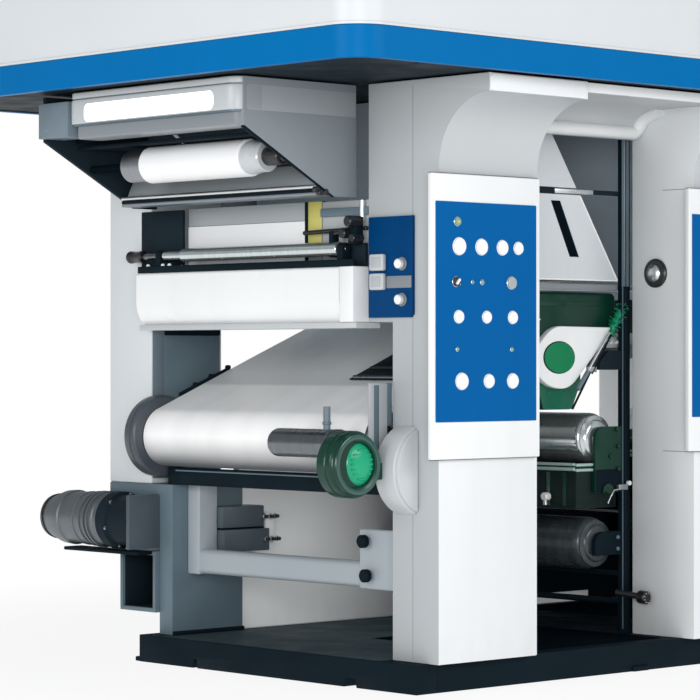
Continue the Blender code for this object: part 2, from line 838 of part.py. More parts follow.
def build_side_drive(white, green, dark):
    """Round boss on the first column, with the geared side drive behind it."""
    half = math.degrees(math.acos(BOSS_X / BOSS_RADIUS))
    outline = arc((BOSS_X, BOSS_Z), BOSS_RADIUS, 180 - half, 180 + half, 14)
    outline = [(min(x, -SEAT), z) for x, z in outline]
    boss = prism("side_boss", outline, "Y", BOSS_NEAR, BOSS_FAR, white)
    smooth(boss)
    length = DRIVE_FAR - DRIVE_NEAR
    profile = [
        (0, 0),
        (0, DRIVE_RADIUS - 0.045),
        (0.010, DRIVE_RADIUS - 0.040),
        (0.010, DRIVE_RADIUS - 0.012),
        (0.022, DRIVE_RADIUS - 0.004),
        (length - 0.040, DRIVE_RADIUS - 0.004),
        (length - 0.034, DRIVE_RADIUS),
        (length - 0.006, DRIVE_RADIUS),
        (length, DRIVE_RADIUS - 0.006),
        (length, 0),
    ]
    housing = lathe("drive_housing", profile, (DRIVE_X, DRIVE_NEAR, DRIVE_Z), green, 28)
    boss_reach = BOSS_RADIUS - BOSS_X + SEAT
    lug = box(
        "drive_lug",
        (0.08, 0.012, BOSS_Z - DRIVE_Z - 0.03),
        (-boss_reach - DRIVE_X, 0.050, BOSS_Z - DRIVE_Z + 0.03),
        green,
        helper=True,
    )
    lug.location = (DRIVE_X, DRIVE_NEAR, DRIVE_Z)
    fuse(housing, lug)
    place = (DRIVE_X, DRIVE_FAR + SEAT, MOTOR_Z)
    return lathe("drive_motor", dome(MOTOR_END - DRIVE_FAR, MOTOR_RADIUS), place, dark)


def dome(length, radius, steps=5):
    """Profile of a rod with a flat near end and a rounded far end."""
    profile = [(0, 0), (0, radius)]
    rim = radius * 0.6
    for i in range(steps + 1):
        angle = math.radians(90 * i / steps)
        profile.append(
            (length - rim + rim * math.sin(angle), radius - rim + rim * math.cos(angle))
        )
    profile.append((length, 0))
    return profile


def build_c_frame(material):
    """Rail from the first column to the drive leg, turned up at both ends."""
    right = RAIL_X + RAIL_WIDTH
    outline = round_rectangle(RAIL_X, RAIL_BOTTOM, right, RAIL_BOTTOM + RAIL_HEIGHT, 0.02, 3)
    start = END_COLUMN_DEPTH + SEAT
    rail = prism("c_frame", outline, "Y", start, LEG_FRONT - 0.01, material)
    post = box(
        "c_frame_post",
        (RAIL_X - 0.004, LEG_FRONT - CFRAME_POST_DEPTH, RAIL_BOTTOM - 0.003),
        (RAIL_X + CFRAME_POST_WIDTH, LEG_FRONT - SEAT, CFRAME_TOP),
        material,
        helper=True,
    )
    plate = box(
        "c_frame_plate",
        (RAIL_X - 0.006, start, RAIL_BOTTOM - 0.004),
        (RAIL_X + 0.02, PLATE_END, PLATE_TOP),
        material,
        helper=True,
    )
    fuse(rail, post, plate)
    return rail


def build_valve_block(material):
    """Two valve boxes, one on the other with a groove between them."""
    front = LEG_FRONT - VALVE_DEPTH
    back = LEG_FRONT - SEAT
    top = VALVE_BOTTOM + VALVE_HEIGHT
    step = VALVE_BOTTOM + VALVE_STEP
    outline = [
        (front, VALVE_BOTTOM),
        (back, VALVE_BOTTOM),
        (back, top),
        (front + 0.01, top),
        (front + 0.01, step + VALVE_GROOVE),
        (front + 0.03, step + VALVE_GROOVE),
        (front + 0.03, step),
        (front, step),
    ]
    left = RAIL_X + CFRAME_POST_WIDTH + SEAT
    return prism("valve_block", outline, "X", left, VALVE_RIGHT, material)


def build_open_box(material):
    """Cable box behind the leg plate, open towards the entry end."""
    front = LEG_FRONT + LEG_THICKNESS + SEAT
    low = (BOX_LEFT, front, BOX_BOTTOM)
    shell = box("cable_box", low, (BOX_RIGHT, BOX_BACK, BOX_TOP), material)
    pocket = box(
        "box_pocket",
        (BOX_LEFT - 0.05, front + BOX_WALL, BOX_BOTTOM + BOX_WALL),
        (BOX_RIGHT - BOX_WALL, BOX_BACK - BOX_WALL, BOX_TOP - BOX_WALL),
        material,
        helper=True,
    )
    cut(shell, pocket)
    return shell


def build_side_motor(material):
    """Flanged motor behind the leg plate, pointing away from the operator."""
    front = LEG_FRONT + LEG_THICKNESS + SEAT
    length = SIDE_MOTOR_END - front
    body = SIDE_MOTOR_RADIUS
    ring = SIDE_MOTOR_FLANGE + SIDE_MOTOR_RING
    profile = [
        (0.005, 0),
        (0.005, body - 0.012),
        (SIDE_MOTOR_FLANGE, body - 0.012),
        (SIDE_MOTOR_FLANGE, body),
        (ring, body),
        (ring, body - 0.010),
        (ring + 0.03, body - 0.010),
        (ring + 0.03, body - 0.003),
        (length - 0.12, body - 0.003),
        (length - 0.06, body - 0.022),
        (length - 0.05, body - 0.030),
        (length - 0.012, body - 0.034),
        (length, body - 0.046),
        (length, 0),
    ]
    motor = lathe("side_motor", profile, (SIDE_MOTOR_X, front, SIDE_MOTOR_Z), material)
    foot = box("motor_foot", (-0.10, 0, -0.105), (0.14, 0.02, 0.105), material, helper=True)
    foot.location = (SIDE_MOTOR_X, front, SIDE_MOTOR_Z)
    fuse(motor, foot)
    return motor


def fuse_bearing_plate(post, side, number, name, height, bottom, front, material):
    """Plate on a post that carries a roller's journal, with its bore."""
    left = column_left(number)
    outline = arc((left + ROLLER_X, height), EYE_RADIUS, 90, 180, 6)
    outline += [
        (left + ROLLER_X - EYE_RADIUS, bottom),
        (left + POST_LEFT + 0.02, bottom),
        (left + POST_LEFT + 0.02, height + EYE_RADIUS),
    ]
    label = f"{side}_{name}_{number + 1}"
    plate = prism(label, outline, "Y", front, front + POST_DEPTH, material, helper=True)
    fuse(post, plate)
    bore = cylinder(
        f"{label}_bore",
        (left + ROLLER_X, 0, height),
        JOURNAL + BORE_PLAY,
        front - 0.05,
        front + POST_DEPTH + 0.05,
        material,
    )
    cut(post, bore)


def build_side_frame(number, side, material):
    """Thin post of a bay with the bearing plates of its rollers and a bracket above them."""
    left = column_left(number)
    near = side == "near"
    front = NEAR_POST_Y if near else FAR_POST_Y
    post = box(
        f"{side}_frame_{number + 1}",
        (left + POST_LEFT, front, PLINTH_TOP + SEAT),
        (left + PITCH - SEAT, front + POST_DEPTH, SOFFIT - SEAT),
        material,
    )
    plates = (
        ("gravure", GRAVURE_Z, PAN_BOTTOM + 0.06),
        ("ink", INK_Z, INK_Z - EYE_RADIUS),
    )
    for name, height, bottom in plates:
        fuse_bearing_plate(post, side, number, name, height, bottom, front, material)
    inside = POST_LEFT + 0.02
    if near:
        stop_top = STOP_BOTTOM + STOP_HEIGHT
        outline = [
            (STOP_LEFT, STOP_BOTTOM),
            (inside, STOP_BOTTOM),
            (inside, stop_top),
            (STOP_LEFT + 0.05, stop_top),
            (STOP_LEFT, stop_top - 0.045),
        ]
    else:
        outline = [
            (CAM_X - 0.05, CAM_Z - 0.06),
            (inside, CAM_Z + 0.02),
            (inside, CAM_TIP_Z + 0.03),
            (CAM_X - 0.05, CAM_Z + 0.10),
        ]
    bracket = prism(
        f"{side}_bracket_{number + 1}",
        [(left + x, z) for x, z in outline],
        "Y",
        front,
        front + POST_DEPTH,
        material,
        helper=True,
    )
    fuse(post, bracket)
    return post


def build_cam_plate(number, material):
    """Teardrop plate at the carriage's near end, with a lug that joins it to the post."""
    left = column_left(number)
    tip = Vector((CAM_TIP_X, CAM_TIP_Z - 0.008))
    center = Vector((CAM_X, CAM_Z))
    aim = math.degrees(math.atan2(tip.y - center.y, tip.x - center.x))
    spread = math.degrees(math.acos(CAM_RADIUS / (tip - center).length))
    outline = arc(
        (left + CAM_X, CAM_Z), CAM_RADIUS, aim + spread, aim + 360 - spread, 20
    )
    outline += [(left + tip.x, tip.y - 0.008), (left + tip.x, tip.y + 0.008)]
    start = NEAR_POST_Y + POST_DEPTH / 2
    end = start + CAM_THICKNESS
    cam = prism(f"cam_plate_{number + 1}", outline, "Y", start, end, material)
    lug = box(
        f"cam_lug_{number + 1}",
        (left + CAM_TIP_X - 0.10, start, LUG_BOTTOM),
        (left + POST_LEFT - SEAT, end, LUG_BOTTOM + LUG_HEIGHT),
        material,
        helper=True,
    )
    fuse(cam, lug)
    smooth(cam)
    return cam


def build_carriage(number, material):
    """Dark blade carriage: a beam across the bay with a lobed plate at its near end."""
    left = column_left(number)
    start = NEAR_POST_Y + POST_DEPTH / 2 + CAM_THICKNESS + SEAT
    lobe = CAM_Z - CARRIAGE_LOBE
    shoulder = LUG_BOTTOM + 0.01
    top = [
        (CARRIAGE_LEFT, CARRIAGE_TOP - 0.15),
        (CARRIAGE_LEFT, CARRIAGE_TOP - 0.03),
        (CARRIAGE_LEFT + 0.03, CARRIAGE_TOP),
        (CARRIAGE_RIGHT - 0.015, CARRIAGE_TOP),
        (CARRIAGE_RIGHT, CARRIAGE_TOP - 0.015),
        (CARRIAGE_RIGHT, shoulder),
    ]
    plate_edge = top + [
        (CAM_X + CAM_RADIUS + 0.02, shoulder),
        (CAM_X + CAM_RADIUS + 0.02, CAM_Z - 0.10),
        (CAM_X + 0.09, lobe),
        (CAM_X - 0.07, lobe),
        (CAM_X - CAM_RADIUS, CAM_Z - 0.06),
    ]
    inset = CARRIAGE_INSET
    middle = (CARRIAGE_LEFT + CARRIAGE_RIGHT) / 2
    beam_edge = []
    for x, z in top + [(middle, shoulder)]:
        inward = inset if x < middle else -inset
        drop = inset if z > CAM_Z + 0.12 else -inset
        beam_edge.append((x + inward, z - drop))
    carriage = prism(
        f"blade_carriage_{number + 1}",
        [(left + x, z) for x, z in plate_edge],
        "Y",
        start,
        start + CARRIAGE_PLATE,
        material,
    )
    beam = prism(
        f"carriage_beam_{number + 1}",
        [(left + x, z) for x, z in beam_edge],
        "Y",
        start + CARRIAGE_PLATE / 2,
        FAR_POST_Y - SEAT,
        material,
        helper=True,
    )
    fuse(carriage, beam)
    return carriage


def roller_profile(body_start, body_end, radius, start, end):
    return [
        (start, 0),
        (start, JOURNAL),
        (body_start - 0.012, JOURNAL),
        (body_start - 0.012, radius * 0.6),
        (body_start, radius - 0.014),
        (body_start + 0.012, radius),
        (body_end - 0.012, radius),
        (body_end, radius - 0.014),
        (body_end + 0.012, radius * 0.6),
        (body_end + 0.012, JOURNAL),
        (end, JOURNAL),
        (end, 0),
    ]


def build_bay_rollers(number, chrome, rubber):
    location = (column_left(number) + ROLLER_X, 0, 0)
    start = NEAR_POST_Y + 0.003
    end = FAR_POST_Y + POST_DEPTH - 0.003
    near = NEAR_POST_Y + POST_DEPTH + 0.02
    far = FAR_POST_Y - 0.022
    for name, height, radius, material in (
        ("gravure_cylinder", GRAVURE_Z, GRAVURE_RADIUS, chrome),
        ("ink_roller", INK_Z, INK_RADIUS, rubber),
    ):
        profile = roller_profile(near, far, radius, start, end)
        place = (location[0], 0, height)
        lathe(f"{name}_{number + 1}", profile, place, material)


def build_ink_pan(number, material):
    """Open trough that the gravure cylinder dips into, held between the bearing plates."""
    left = column_left(number)
    start = NEAR_POST_Y + POST_DEPTH + SEAT
    end = FAR_POST_Y - SEAT
    pan = box(
        f"ink_pan_{number + 1}",
        (left + PAN_LEFT, start, PAN_BOTTOM),
        (left + PAN_RIGHT, end, PAN_TOP),
        material,
    )
    bevel(pan, 0.004)
    hollow = box(
        f"pan_hollow_{number + 1}",
        (left + PAN_LEFT + PAN_WALL, start + PAN_WALL, PAN_BOTTOM + PAN_WALL),
        (left + PAN_RIGHT - PAN_WALL, end - PAN_WALL, PAN_TOP + 0.05),
        material,
        helper=True,
    )
    cut(pan, hollow)
    return pan


def dryer_slant(height):
    """Where the dryer box's slanted face is, at a height."""
    low = DRYER_BOTTOM + DRYER_EDGE
    share = max(0, (height - low) / (SOFFIT - SEAT - low))
    return DRYER_RIGHT + share * (DRYER_TOP_RIGHT - DRYER_RIGHT)


def build_dryer_box(number, material):
    """Dryer housing over the bay, cut off at a slant, with a slot in its near face."""
    left = column_left(number)
    outline = [
        (left + DRYER_LEFT, DRYER_BOTTOM),
        (left + DRYER_RIGHT, DRYER_BOTTOM),
        (left + DRYER_RIGHT, DRYER_BOTTOM + DRYER_EDGE),
        (left + DRYER_TOP_RIGHT, SOFFIT - SEAT),
        (left + DRYER_LEFT, SOFFIT - SEAT),
    ]
    front = DRYER_FRONT
    dryer = prism(f"dryer_box_{number + 1}", outline, "Y", front, DRYER_BACK, material)
    low = SLOT_BOTTOM
    high = SLOT_BOTTOM + SLOT_LENGTH
    low_right = left + dryer_slant(low) - SLOT_LOW_INSET
    high_right = left + dryer_slant(high) - SLOT_HIGH_INSET
    outline = [
        (high_right - SLOT_WIDTH, high),
        (low_right - SLOT_WIDTH, low),
        (low_right, low),
        (high_right, high),
    ]
    name = f"dryer_slot_{number + 1}"
    slot = prism(name, outline, "Y", front - 0.05, front + SLOT_DEPTH, material, helper=True)
    cut(dryer, slot)
    return dryer


def build():
    clear_scene()
    press = bpy.data.objects.new("press", None)
    bpy.context.scene.collection.objects.link(press)
    middle_x = line_end() / 2
    middle_y = (CANOPY_FRONT + CANOPY_BACK) / 2
    press.location = (-middle_x, -middle_y, 0)

    white = paint("white_paint", (0.84, 0.86, 0.87), 0.35)
    light = paint("light_grey_paint", (0.55, 0.58, 0.60), 0.4)
    slate = paint("slate_paint", (0.07, 0.09, 0.11), 0.45)
    black = paint("black_paint", (0.012, 0.016, 0.02), 0.4)
    blue = paint("blue_paint", (0.0, 0.12, 0.42), 0.35)
    green = paint("green_paint", (0.006, 0.12, 0.075), 0.35)
    chrome = paint("chromed_steel", (0.75, 0.77, 0.78), 0.12, 1.0)
    rubber = paint("dark_rubber", (0.03, 0.04, 0.04), 0.6)
    steel = paint("dark_steel", (0.12, 0.13, 0.14), 0.4, 0.8)
    film = paint("white_film", (0.86, 0.86, 0.86), 0.3)

    build_plinth(black)
    for number in range(BAYS + 1):
        build_front_column(number, light)
        build_column_cover(number, white)
        build_button_panel(number, blue)
        build_drive_leg(number, slate)
        build_drive_column(number, light)
    for number in range(BAYS):
        build_header(number, light)
        build_drive_panels(number, light, slate)
        build_side_frame(number, "near", black)
        build_side_frame(number, "far", black)
        build_cam_plate(number, white)
        build_carriage(number, green)
        build_bay_rollers(number, chrome, rubber)
        build_ink_pan(number, green)
        build_dryer_box(number, light)
    build_canopy(white, blue, slate)
    build_hood(light, slate)
    build_hood_roller(film)
    build_end_beam(white)
    build_guide(black, chrome, film)
    build_switch_panel(blue)
    build_draw_roller(steel)
    build_web(film)
    build_web_bar(black)
    build_side_drive(white, green, steel)
    build_c_frame(light)
    build_valve_block(slate)
    build_open_box(slate)
    build_side_motor(steel)


build()
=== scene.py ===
"""Rotogravure printing press, dressed: fine shapes, finishes, light and camera.

Places are in metres, with X along the machine, Y towards the drive side and Z up. They count from
the front left foot of the first operator column, plus the place that a piece is given as `at`.
ORIGIN moves them into the frame.
"""

import math
import random

import bmesh
import bpy
from mathutils import Matrix, Vector


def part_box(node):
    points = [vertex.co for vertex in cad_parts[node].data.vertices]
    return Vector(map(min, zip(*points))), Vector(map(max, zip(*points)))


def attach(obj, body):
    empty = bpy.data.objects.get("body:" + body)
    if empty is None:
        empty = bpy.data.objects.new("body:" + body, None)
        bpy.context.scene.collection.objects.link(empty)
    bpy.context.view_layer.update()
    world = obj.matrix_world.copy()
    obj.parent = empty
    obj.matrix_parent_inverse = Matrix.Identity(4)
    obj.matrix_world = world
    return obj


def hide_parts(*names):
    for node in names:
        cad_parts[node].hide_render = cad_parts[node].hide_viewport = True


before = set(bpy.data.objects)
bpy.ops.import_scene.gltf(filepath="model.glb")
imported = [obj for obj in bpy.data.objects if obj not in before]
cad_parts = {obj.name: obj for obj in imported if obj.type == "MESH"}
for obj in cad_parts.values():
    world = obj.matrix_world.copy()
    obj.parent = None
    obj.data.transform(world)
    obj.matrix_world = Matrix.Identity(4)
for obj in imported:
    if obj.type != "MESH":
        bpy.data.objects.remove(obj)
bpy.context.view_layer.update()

ORIGIN = Vector((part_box("front_column_1")[0].x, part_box("column_cover_1")[1].y, 0))
BAYS = 2
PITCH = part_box("front_column_2")[0].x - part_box("front_column_1")[0].x
COLUMN_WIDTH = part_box("front_column_1")[1].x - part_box("front_column_1")[0].x


def local(node):
    """Lowest and highest corner of a CAD node, from the first column's foot."""
    low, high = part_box(node)
    return low - ORIGIN, high - ORIGIN


def middle(node):
    low, high = local(node)
    return (low + high) / 2


def bay(number):
    return Vector((number * PITCH, 0, 0))


# Materials


def add_node(tree, kind, inputs, **settings):
    """A new node, with each named input set to a value or linked to an output."""
    node = tree.nodes.new("ShaderNode" + kind)
    for name, value in settings.items():
        setattr(node, name, value)
    for name, value in inputs.items():
        if isinstance(value, bpy.types.NodeSocket):
            tree.links.new(value, node.inputs[name])
        else:
            node.inputs[name].default_value = value
    return node


# The Mix node's sockets for colours
COLOR_A, COLOR_B, COLOR_RESULT = 6, 7, 2


class Finish:
    """A material in the making: its node tree, with short calls to add to it."""

    def __init__(self, name, color, roughness, metallic=0.0, gloss=0.5):
        self.material = bpy.data.materials.new(name)
        self.material.use_nodes = True
        self.tree = self.material.node_tree
        self.shader = self.tree.nodes["Principled BSDF"]
        self.color = color
        self.set("Base Color", (*color, 1))
        self.set("Roughness", roughness)
        self.set("Metallic", metallic)
        self.set("Specular IOR Level", gloss)
        self.place = self.tree.nodes.new("ShaderNodeTexCoord").outputs["Object"]
        self.relief = None

    def set(self, name, value):
        self.shader.inputs[name].default_value = value

    def node(self, kind, inputs, **settings):
        return add_node(self.tree, kind, inputs, **settings)

    def noise(self, scale, stretch=(1, 1, 1), detail=3.0, roughness=0.5):
        place = self.node("Mapping", {"Vector": self.place, "Scale": stretch}).outputs["Vector"]
        settings = {"Vector": place, "Scale": scale, "Detail": detail, "Roughness": roughness}
        return self.node("TexNoise", settings).outputs["Fac"]

    def mapped(self, value, low, high, to_low, to_high):
        ends = {"From Min": low, "From Max": high, "To Min": to_low, "To Max": to_high}
        return self.node("MapRange", {"Value": value, **ends}).outputs["Result"]

    def product(self, first, second):
        return self.node("Math", {0: first, 1: second}, operation="MULTIPLY").outputs["Value"]

    def height(self):
        return self.node("SeparateXYZ", {"Vector": self.place}).outputs["Z"]

    def tint(self, factor, color):
        """Lays another colour over what the base has so far, where the factor is high."""
        base = self.shader.inputs["Base Color"]
        under = base.links[0].from_socket if base.links else (*self.color, 1)
        colors = {"Factor": factor, COLOR_A: under, COLOR_B: (*color, 1)}
        mix = self.node("Mix", colors, data_type="RGBA")
        self.tree.links.new(mix.outputs[COLOR_RESULT], base)

    def rough(self, value, low, high):
        self.tree.links.new(self.mapped(value, 0.3, 0.7, low, high),
                            self.shader.inputs["Roughness"])

    def bump(self, value, strength, distance):
        inputs = {"Strength": strength, "Distance": distance, "Height": value}
        if self.relief:
            inputs["Normal"] = self.relief
        self.relief = self.node("Bump", inputs).outputs["Normal"]
        self.tree.links.new(self.relief, self.shader.inputs["Normal"])


def shade(color, factor):
    return tuple(min(1.0, part * factor) for part in color)


def painted(name, color, roughness=0.36, vary=0.05, coat=0.0, soil=0, gloss=0.3):
    """Sprayed panel paint: soft cloudiness, orange peel, faint runs and a little floor dust."""
    made = Finish(name, color, roughness, gloss=gloss)
    made.tint(made.mapped(made.noise(1.7, detail=4), 0.35, 0.65, 0, 0.8), shade(color, 1 - vary))
    runs = made.noise(9, (1, 1, 0.06), detail=3)
    made.tint(made.mapped(runs, 0.56, 0.74, 0, 0.35), shade(color, 1 - 1.6 * vary))
    if soil:
        spread = made.mapped(made.noise(14, (1, 1, 0.5), detail=5), 0.35, 0.7, 0.2, 1.0)
        low = made.mapped(made.height(), 0.10, 0.34, soil, 0)
        made.tint(made.product(low, spread), (0.27, 0.28, 0.285))
    made.rough(made.noise(5, detail=5), roughness - 0.05, roughness + 0.07)
    made.bump(made.noise(420, detail=2), 0.055, 0.0004)
    made.bump(made.noise(2.2, detail=2), 0.10, 0.004)
    made.set("Coat Weight", coat)
    made.set("Coat Roughness", 0.08)
    return made.material


def powder_coated(name, color, roughness=0.42, gloss=0.25):
    """Fine textured coating on frames and legs, a little polished in places."""
    made = Finish(name, color, roughness, gloss=gloss)
    made.tint(made.mapped(made.noise(3.1, detail=5), 0.4, 0.7, 0, 0.7), shade(color, 1.35))
    wear = made.noise(38, detail=7, roughness=0.65)
    made.tint(made.mapped(wear, 0.66, 0.72, 0, 0.25), shade(color, 2.2))
    made.rough(made.noise(7, detail=5), roughness - 0.12, roughness + 0.10)
    made.bump(made.noise(520, detail=3), 0.18, 0.0005)
    return made.material


def turned_steel(name, color, roughness, lines, strength=0.12, metallic=1.0):
    """Metal turned or ground round the machine's Y direction, with fine rings."""
    made = Finish(name, color, roughness, metallic)
    rings = made.noise(1.0, (2, lines, 2), detail=6, roughness=0.7)
    made.tint(made.mapped(rings, 0.35, 0.65, 0, 0.7), shade(color, 0.80))
    made.rough(made.noise(1.0, (6, lines / 3, 6), detail=5), roughness, roughness + 0.12)
    made.bump(rings, strength, 0.0003)
    made.bump(made.noise(12, (1, 0.4, 1), detail=4), 0.04, 0.002)
    return made.material


def bare_metal(name, color, roughness):
    made = Finish(name, color, roughness, 1.0)
    brushed = made.noise(1.0, (30, 30, 200), detail=3, roughness=0.6)
    made.tint(made.mapped(brushed, 0.35, 0.65, 0, 0.5), shade(color, 0.86))
    made.rough(made.noise(18, detail=5), roughness, roughness + 0.18)
    made.bump(brushed, 0.10, 0.0003)
    return made.material


def moulded(name, color, roughness, coat=0.0):
    """Injection moulded plastic, finely textured."""
    made = Finish(name, color, roughness)
    made.tint(made.mapped(made.noise(60, detail=4), 0.4, 0.7, 0, 0.5), shade(color, 0.86))
    made.rough(made.noise(90, detail=4), roughness - 0.05, roughness + 0.10)
    made.bump(made.noise(900, detail=2), 0.08, 0.0002)
    made.set("Coat Weight", coat)
    return made.material


def rubbered(name, color, roughness):
    made = Finish(name, color, roughness)
    made.tint(made.mapped(made.noise(11, (1, 3, 1), detail=6), 0.4, 0.7, 0, 0.8), shade(color, 1.7))
    made.rough(made.noise(25, (1, 0.3, 1), detail=4), roughness - 0.15, roughness + 0.1)
    made.bump(made.noise(600, detail=2), 0.10, 0.0003)
    return made.material


def web_film(name):
    """Coated white film under tension: faint lengthwise troughs, soft sheen, painted shade on its
    upper slope and under the roller.
    """
    made = Finish(name, (0.93, 0.93, 0.925), 0.34)
    troughs = made.noise(1.0, (0.9, 9, 0.9), detail=3)
    made.tint(made.mapped(troughs, 0.42, 0.7, 0, 0.5), (0.82, 0.82, 0.82))
    # Painted shade: greyer above a sharp line on the slope, fading out towards the top
    height = made.height()
    upper_shade_fade = made.mapped(height, 1.08, 1.30, 1, 0.15)
    slope = made.product(made.mapped(height, 1.074, 1.082, 0, 1), upper_shade_fade)
    made.tint(slope, (0.66, 0.68, 0.675))
    # Painted shade: darker towards the bottom of the wrap round the draw roller
    made.tint(made.mapped(height, 0.775, 0.885, 1.0, 0), (0.15, 0.16, 0.17))
    made.rough(made.noise(3, (1, 4, 1), detail=4), 0.28, 0.42)
    made.bump(troughs, 0.16, 0.006)
    made.bump(made.noise(260, detail=3), 0.05, 0.0004)
    return made.material


def glowing(name, color, strength):
    """Lit diffuser of the hood's lamp."""
    made = Finish(name, color, 0.4)
    made.set("Emission Color", (*color, 1))
    glow = made.mapped(made.noise(7, detail=2), 0.3, 0.7, 0.92 * strength, strength)
    made.tree.links.new(glow, made.shader.inputs["Emission Strength"])
    made.bump(made.noise(300, detail=1), 0.08, 0.0004)
    return made.material


WHITE = painted("white_panel_paint", (0.80, 0.815, 0.82), 0.32, soil=0.1, gloss=0.35)
CANOPY_WHITE = painted("canopy_paint", (0.62, 0.645, 0.665), 0.36, 0.03)
COLUMN_GREY = painted("column_paint", (0.76, 0.78, 0.79), 0.34, 0.04, soil=0.1)
# Darker grey for the first column's side faces, as painted shade; a plain grey on some small parts
GREY_AND_SIDE_SHADE = painted("grey_and_side_shade_paint", (0.41, 0.435, 0.45), 0.36, 0.04, soil=0.1)
NEXT_SIDE_GREY = painted("next_side_paint", (0.78, 0.80, 0.81), 0.36, 0.04, soil=0.1)
BOSS_GREY = painted("boss_paint", (0.52, 0.55, 0.565), 0.34, 0.04, gloss=0.4)
FAR_GREY = painted("drive_column_paint", (0.62, 0.65, 0.67), 0.38, soil=0.1)
HOOD_WHITE = painted("hood_front_paint", (0.47, 0.495, 0.51), 0.34, gloss=0.4)
# Darker copy of the hood paint for all but its faces along X: painted shade under the canopy
HOOD_SHADE_GREY = painted("hood_side_shade_paint", (0.29, 0.32, 0.34), 0.34, gloss=0.4)
CHEEK_GREY = painted("hood_cheek_paint", (0.23, 0.26, 0.285), 0.38)
SHADE_GREY = painted("inner_panel_paint", (0.21, 0.235, 0.255), 0.38)
# Darker grey for the columns' rounded heads, as painted shade under the canopy; a plain grey on the
# beam's ledge and switch plates
GREY_AND_HEAD_SHADE = painted("grey_and_head_shade_paint", (0.49, 0.515, 0.53), 0.34, 0.04)
RAIL_GREY = painted("low_rail_paint", (0.34, 0.385, 0.415), 0.34, gloss=0.4)
PLATE_GREY = painted("window_top_paint", (0.34, 0.37, 0.385))
DRYER_SIDE = painted("dryer_side_paint", (0.66, 0.77, 0.87), 0.40, gloss=0.2)
# Darker grey for the headers' coves: painted shade under the canopy
COVE_SHADE_GREY = painted("cove_shade_paint", (0.50, 0.52, 0.535))
# Darker grey for the dryer plates deep in the bays: painted shade
DRYER_SHADE_GREY = painted("dryer_plate_shade_paint", (0.58, 0.605, 0.63), 0.36, 0.06)
BLUE = painted("blue_band_paint", (0.0, 0.135, 0.375), 0.34, 0.06, gloss=0.05)
PANEL_BLUE = painted("blue_panel_foil", (0.0, 0.103, 0.33), 0.42, gloss=0.05)
DEEP_BLUE = painted("deep_blue_foil", (0.0, 0.045, 0.158), 0.40, 0.07, gloss=0.05)
SLATE = powder_coated("slate_coating", (0.100, 0.142, 0.170))
MID_SLATE = powder_coated("mid_slate_coating", (0.130, 0.170, 0.200))
LIGHT_SLATE = powder_coated("light_slate_coating", (0.30, 0.37, 0.43))
DRUM_SLATE = powder_coated("drum_coating", (0.050, 0.062, 0.074), 0.34, 0.5)
BOX_SLATE = powder_coated("box_coating", (0.060, 0.080, 0.094))
DARK_SLATE = powder_coated("dark_slate_coating", (0.009, 0.017, 0.023), 0.55, 0.05)
DECK = powder_coated("deck_coating", (0.045, 0.068, 0.078), 0.62, 0.05)
BLACK = powder_coated("black_coating", (0.004, 0.010, 0.015), 0.55, 0.05)
# Matt black for real black ends, and laid in recesses and bays as painted shade
MATT_BLACK_AND_SHADE = powder_coated("matt_black_and_shade_coating", (0.003, 0.006, 0.009), 0.85, 0)
GREEN = painted("green_enamel", (0.004, 0.115, 0.065), 0.28, 0.20, 0.3)
BRIGHT_GREEN = painted("bright_green_enamel", (0.008, 0.36, 0.18), 0.30, 0.12, 0.2)
DARK_GREEN = painted("dark_green_enamel", (0.002, 0.040, 0.024), 0.30, 0.30, 0.1)
RING_GREEN = painted("ring_green_enamel", (0.022, 0.085, 0.072), 0.24, 0.25, 0.4, gloss=0.5)
RIM_GREEN = painted("pan_rim_enamel", (0.36, 0.50, 0.46), 0.24, 0.15, gloss=0.6)
PAN_GREEN = painted("pan_green_enamel", (0.002, 0.013, 0.011), 0.40, 0.30, gloss=0.2)
HUB_GREEN = painted("hub_green_enamel", (0.004, 0.20, 0.075), 0.42, 0.10, gloss=0.2)
CHROME = turned_steel("chromed_roller", (0.66, 0.72, 0.72), 0.11, 60, 0.012, 0.85)
TURNED_CAP = turned_steel("turned_cap", (0.34, 0.36, 0.38), 0.34, 300)
MOTOR_STEEL = turned_steel("motor_casing", (0.17, 0.19, 0.205), 0.34, 160, 0.04, 0.7)
DARK_STEEL = turned_steel("dark_turned_steel", (0.20, 0.22, 0.235), 0.22, 60, 0.02)
STEEL = bare_metal("bare_steel", (0.52, 0.53, 0.55), 0.28)
BRIGHT_STEEL = bare_metal("bright_steel", (0.76, 0.78, 0.79), 0.26)
FILM = web_film("white_film")
SLEEVE = painted("white_sleeve", (0.82, 0.83, 0.84), 0.38, 0.03, gloss=0.4)
COLLAR = painted("clear_collar", (0.50, 0.53, 0.55), 0.16, 0.10, gloss=0.8)
INK_RUBBER = rubbered("ink_roller_rubber", (0.030, 0.038, 0.042), 0.28)
BLACK_PLASTIC = moulded("black_plastic", (0.012, 0.013, 0.015), 0.30)
WHITE_CAP = moulded("white_button_cap", (0.86, 0.86, 0.85), 0.32, 0.3)
GREY_CAP = moulded("grey_button_cap", (0.36, 0.40, 0.38), 0.32, 0.3)
GREEN_CAP = moulded("green_lamp_cap", (0.18, 0.34, 0.24), 0.22, 0.6)
YELLOW_CAP = moulded("yellow_lamp_cap", (0.62, 0.50, 0.12), 0.25, 0.5)
YELLOW = painted("yellow_paint", (0.58, 0.54, 0.15), 0.40, 0.15, gloss=0.5)
LAMP = glowing("lamp_diffuser", (0.97, 0.98, 1.0), 0.85)


# Shapes


AXES = {
    "X": lambda a, b, along: Vector((along, a, b)),
    "Y": lambda a, b, along: Vector((a, along, b)),
    "Z": lambda a, b, along: Vector((a, b, along)),
}


def round_edges(shape, rim, steps=2):
    if rim > 0:
        sharp = [edge for edge in shape.edges if edge.calc_face_angle(0) > math.radians(30)]
        bmesh.ops.bevel(shape, geom=sharp, offset=rim, segments=steps, affect="EDGES", profile=0.5,
                        clamp_overlap=True)
    return shape


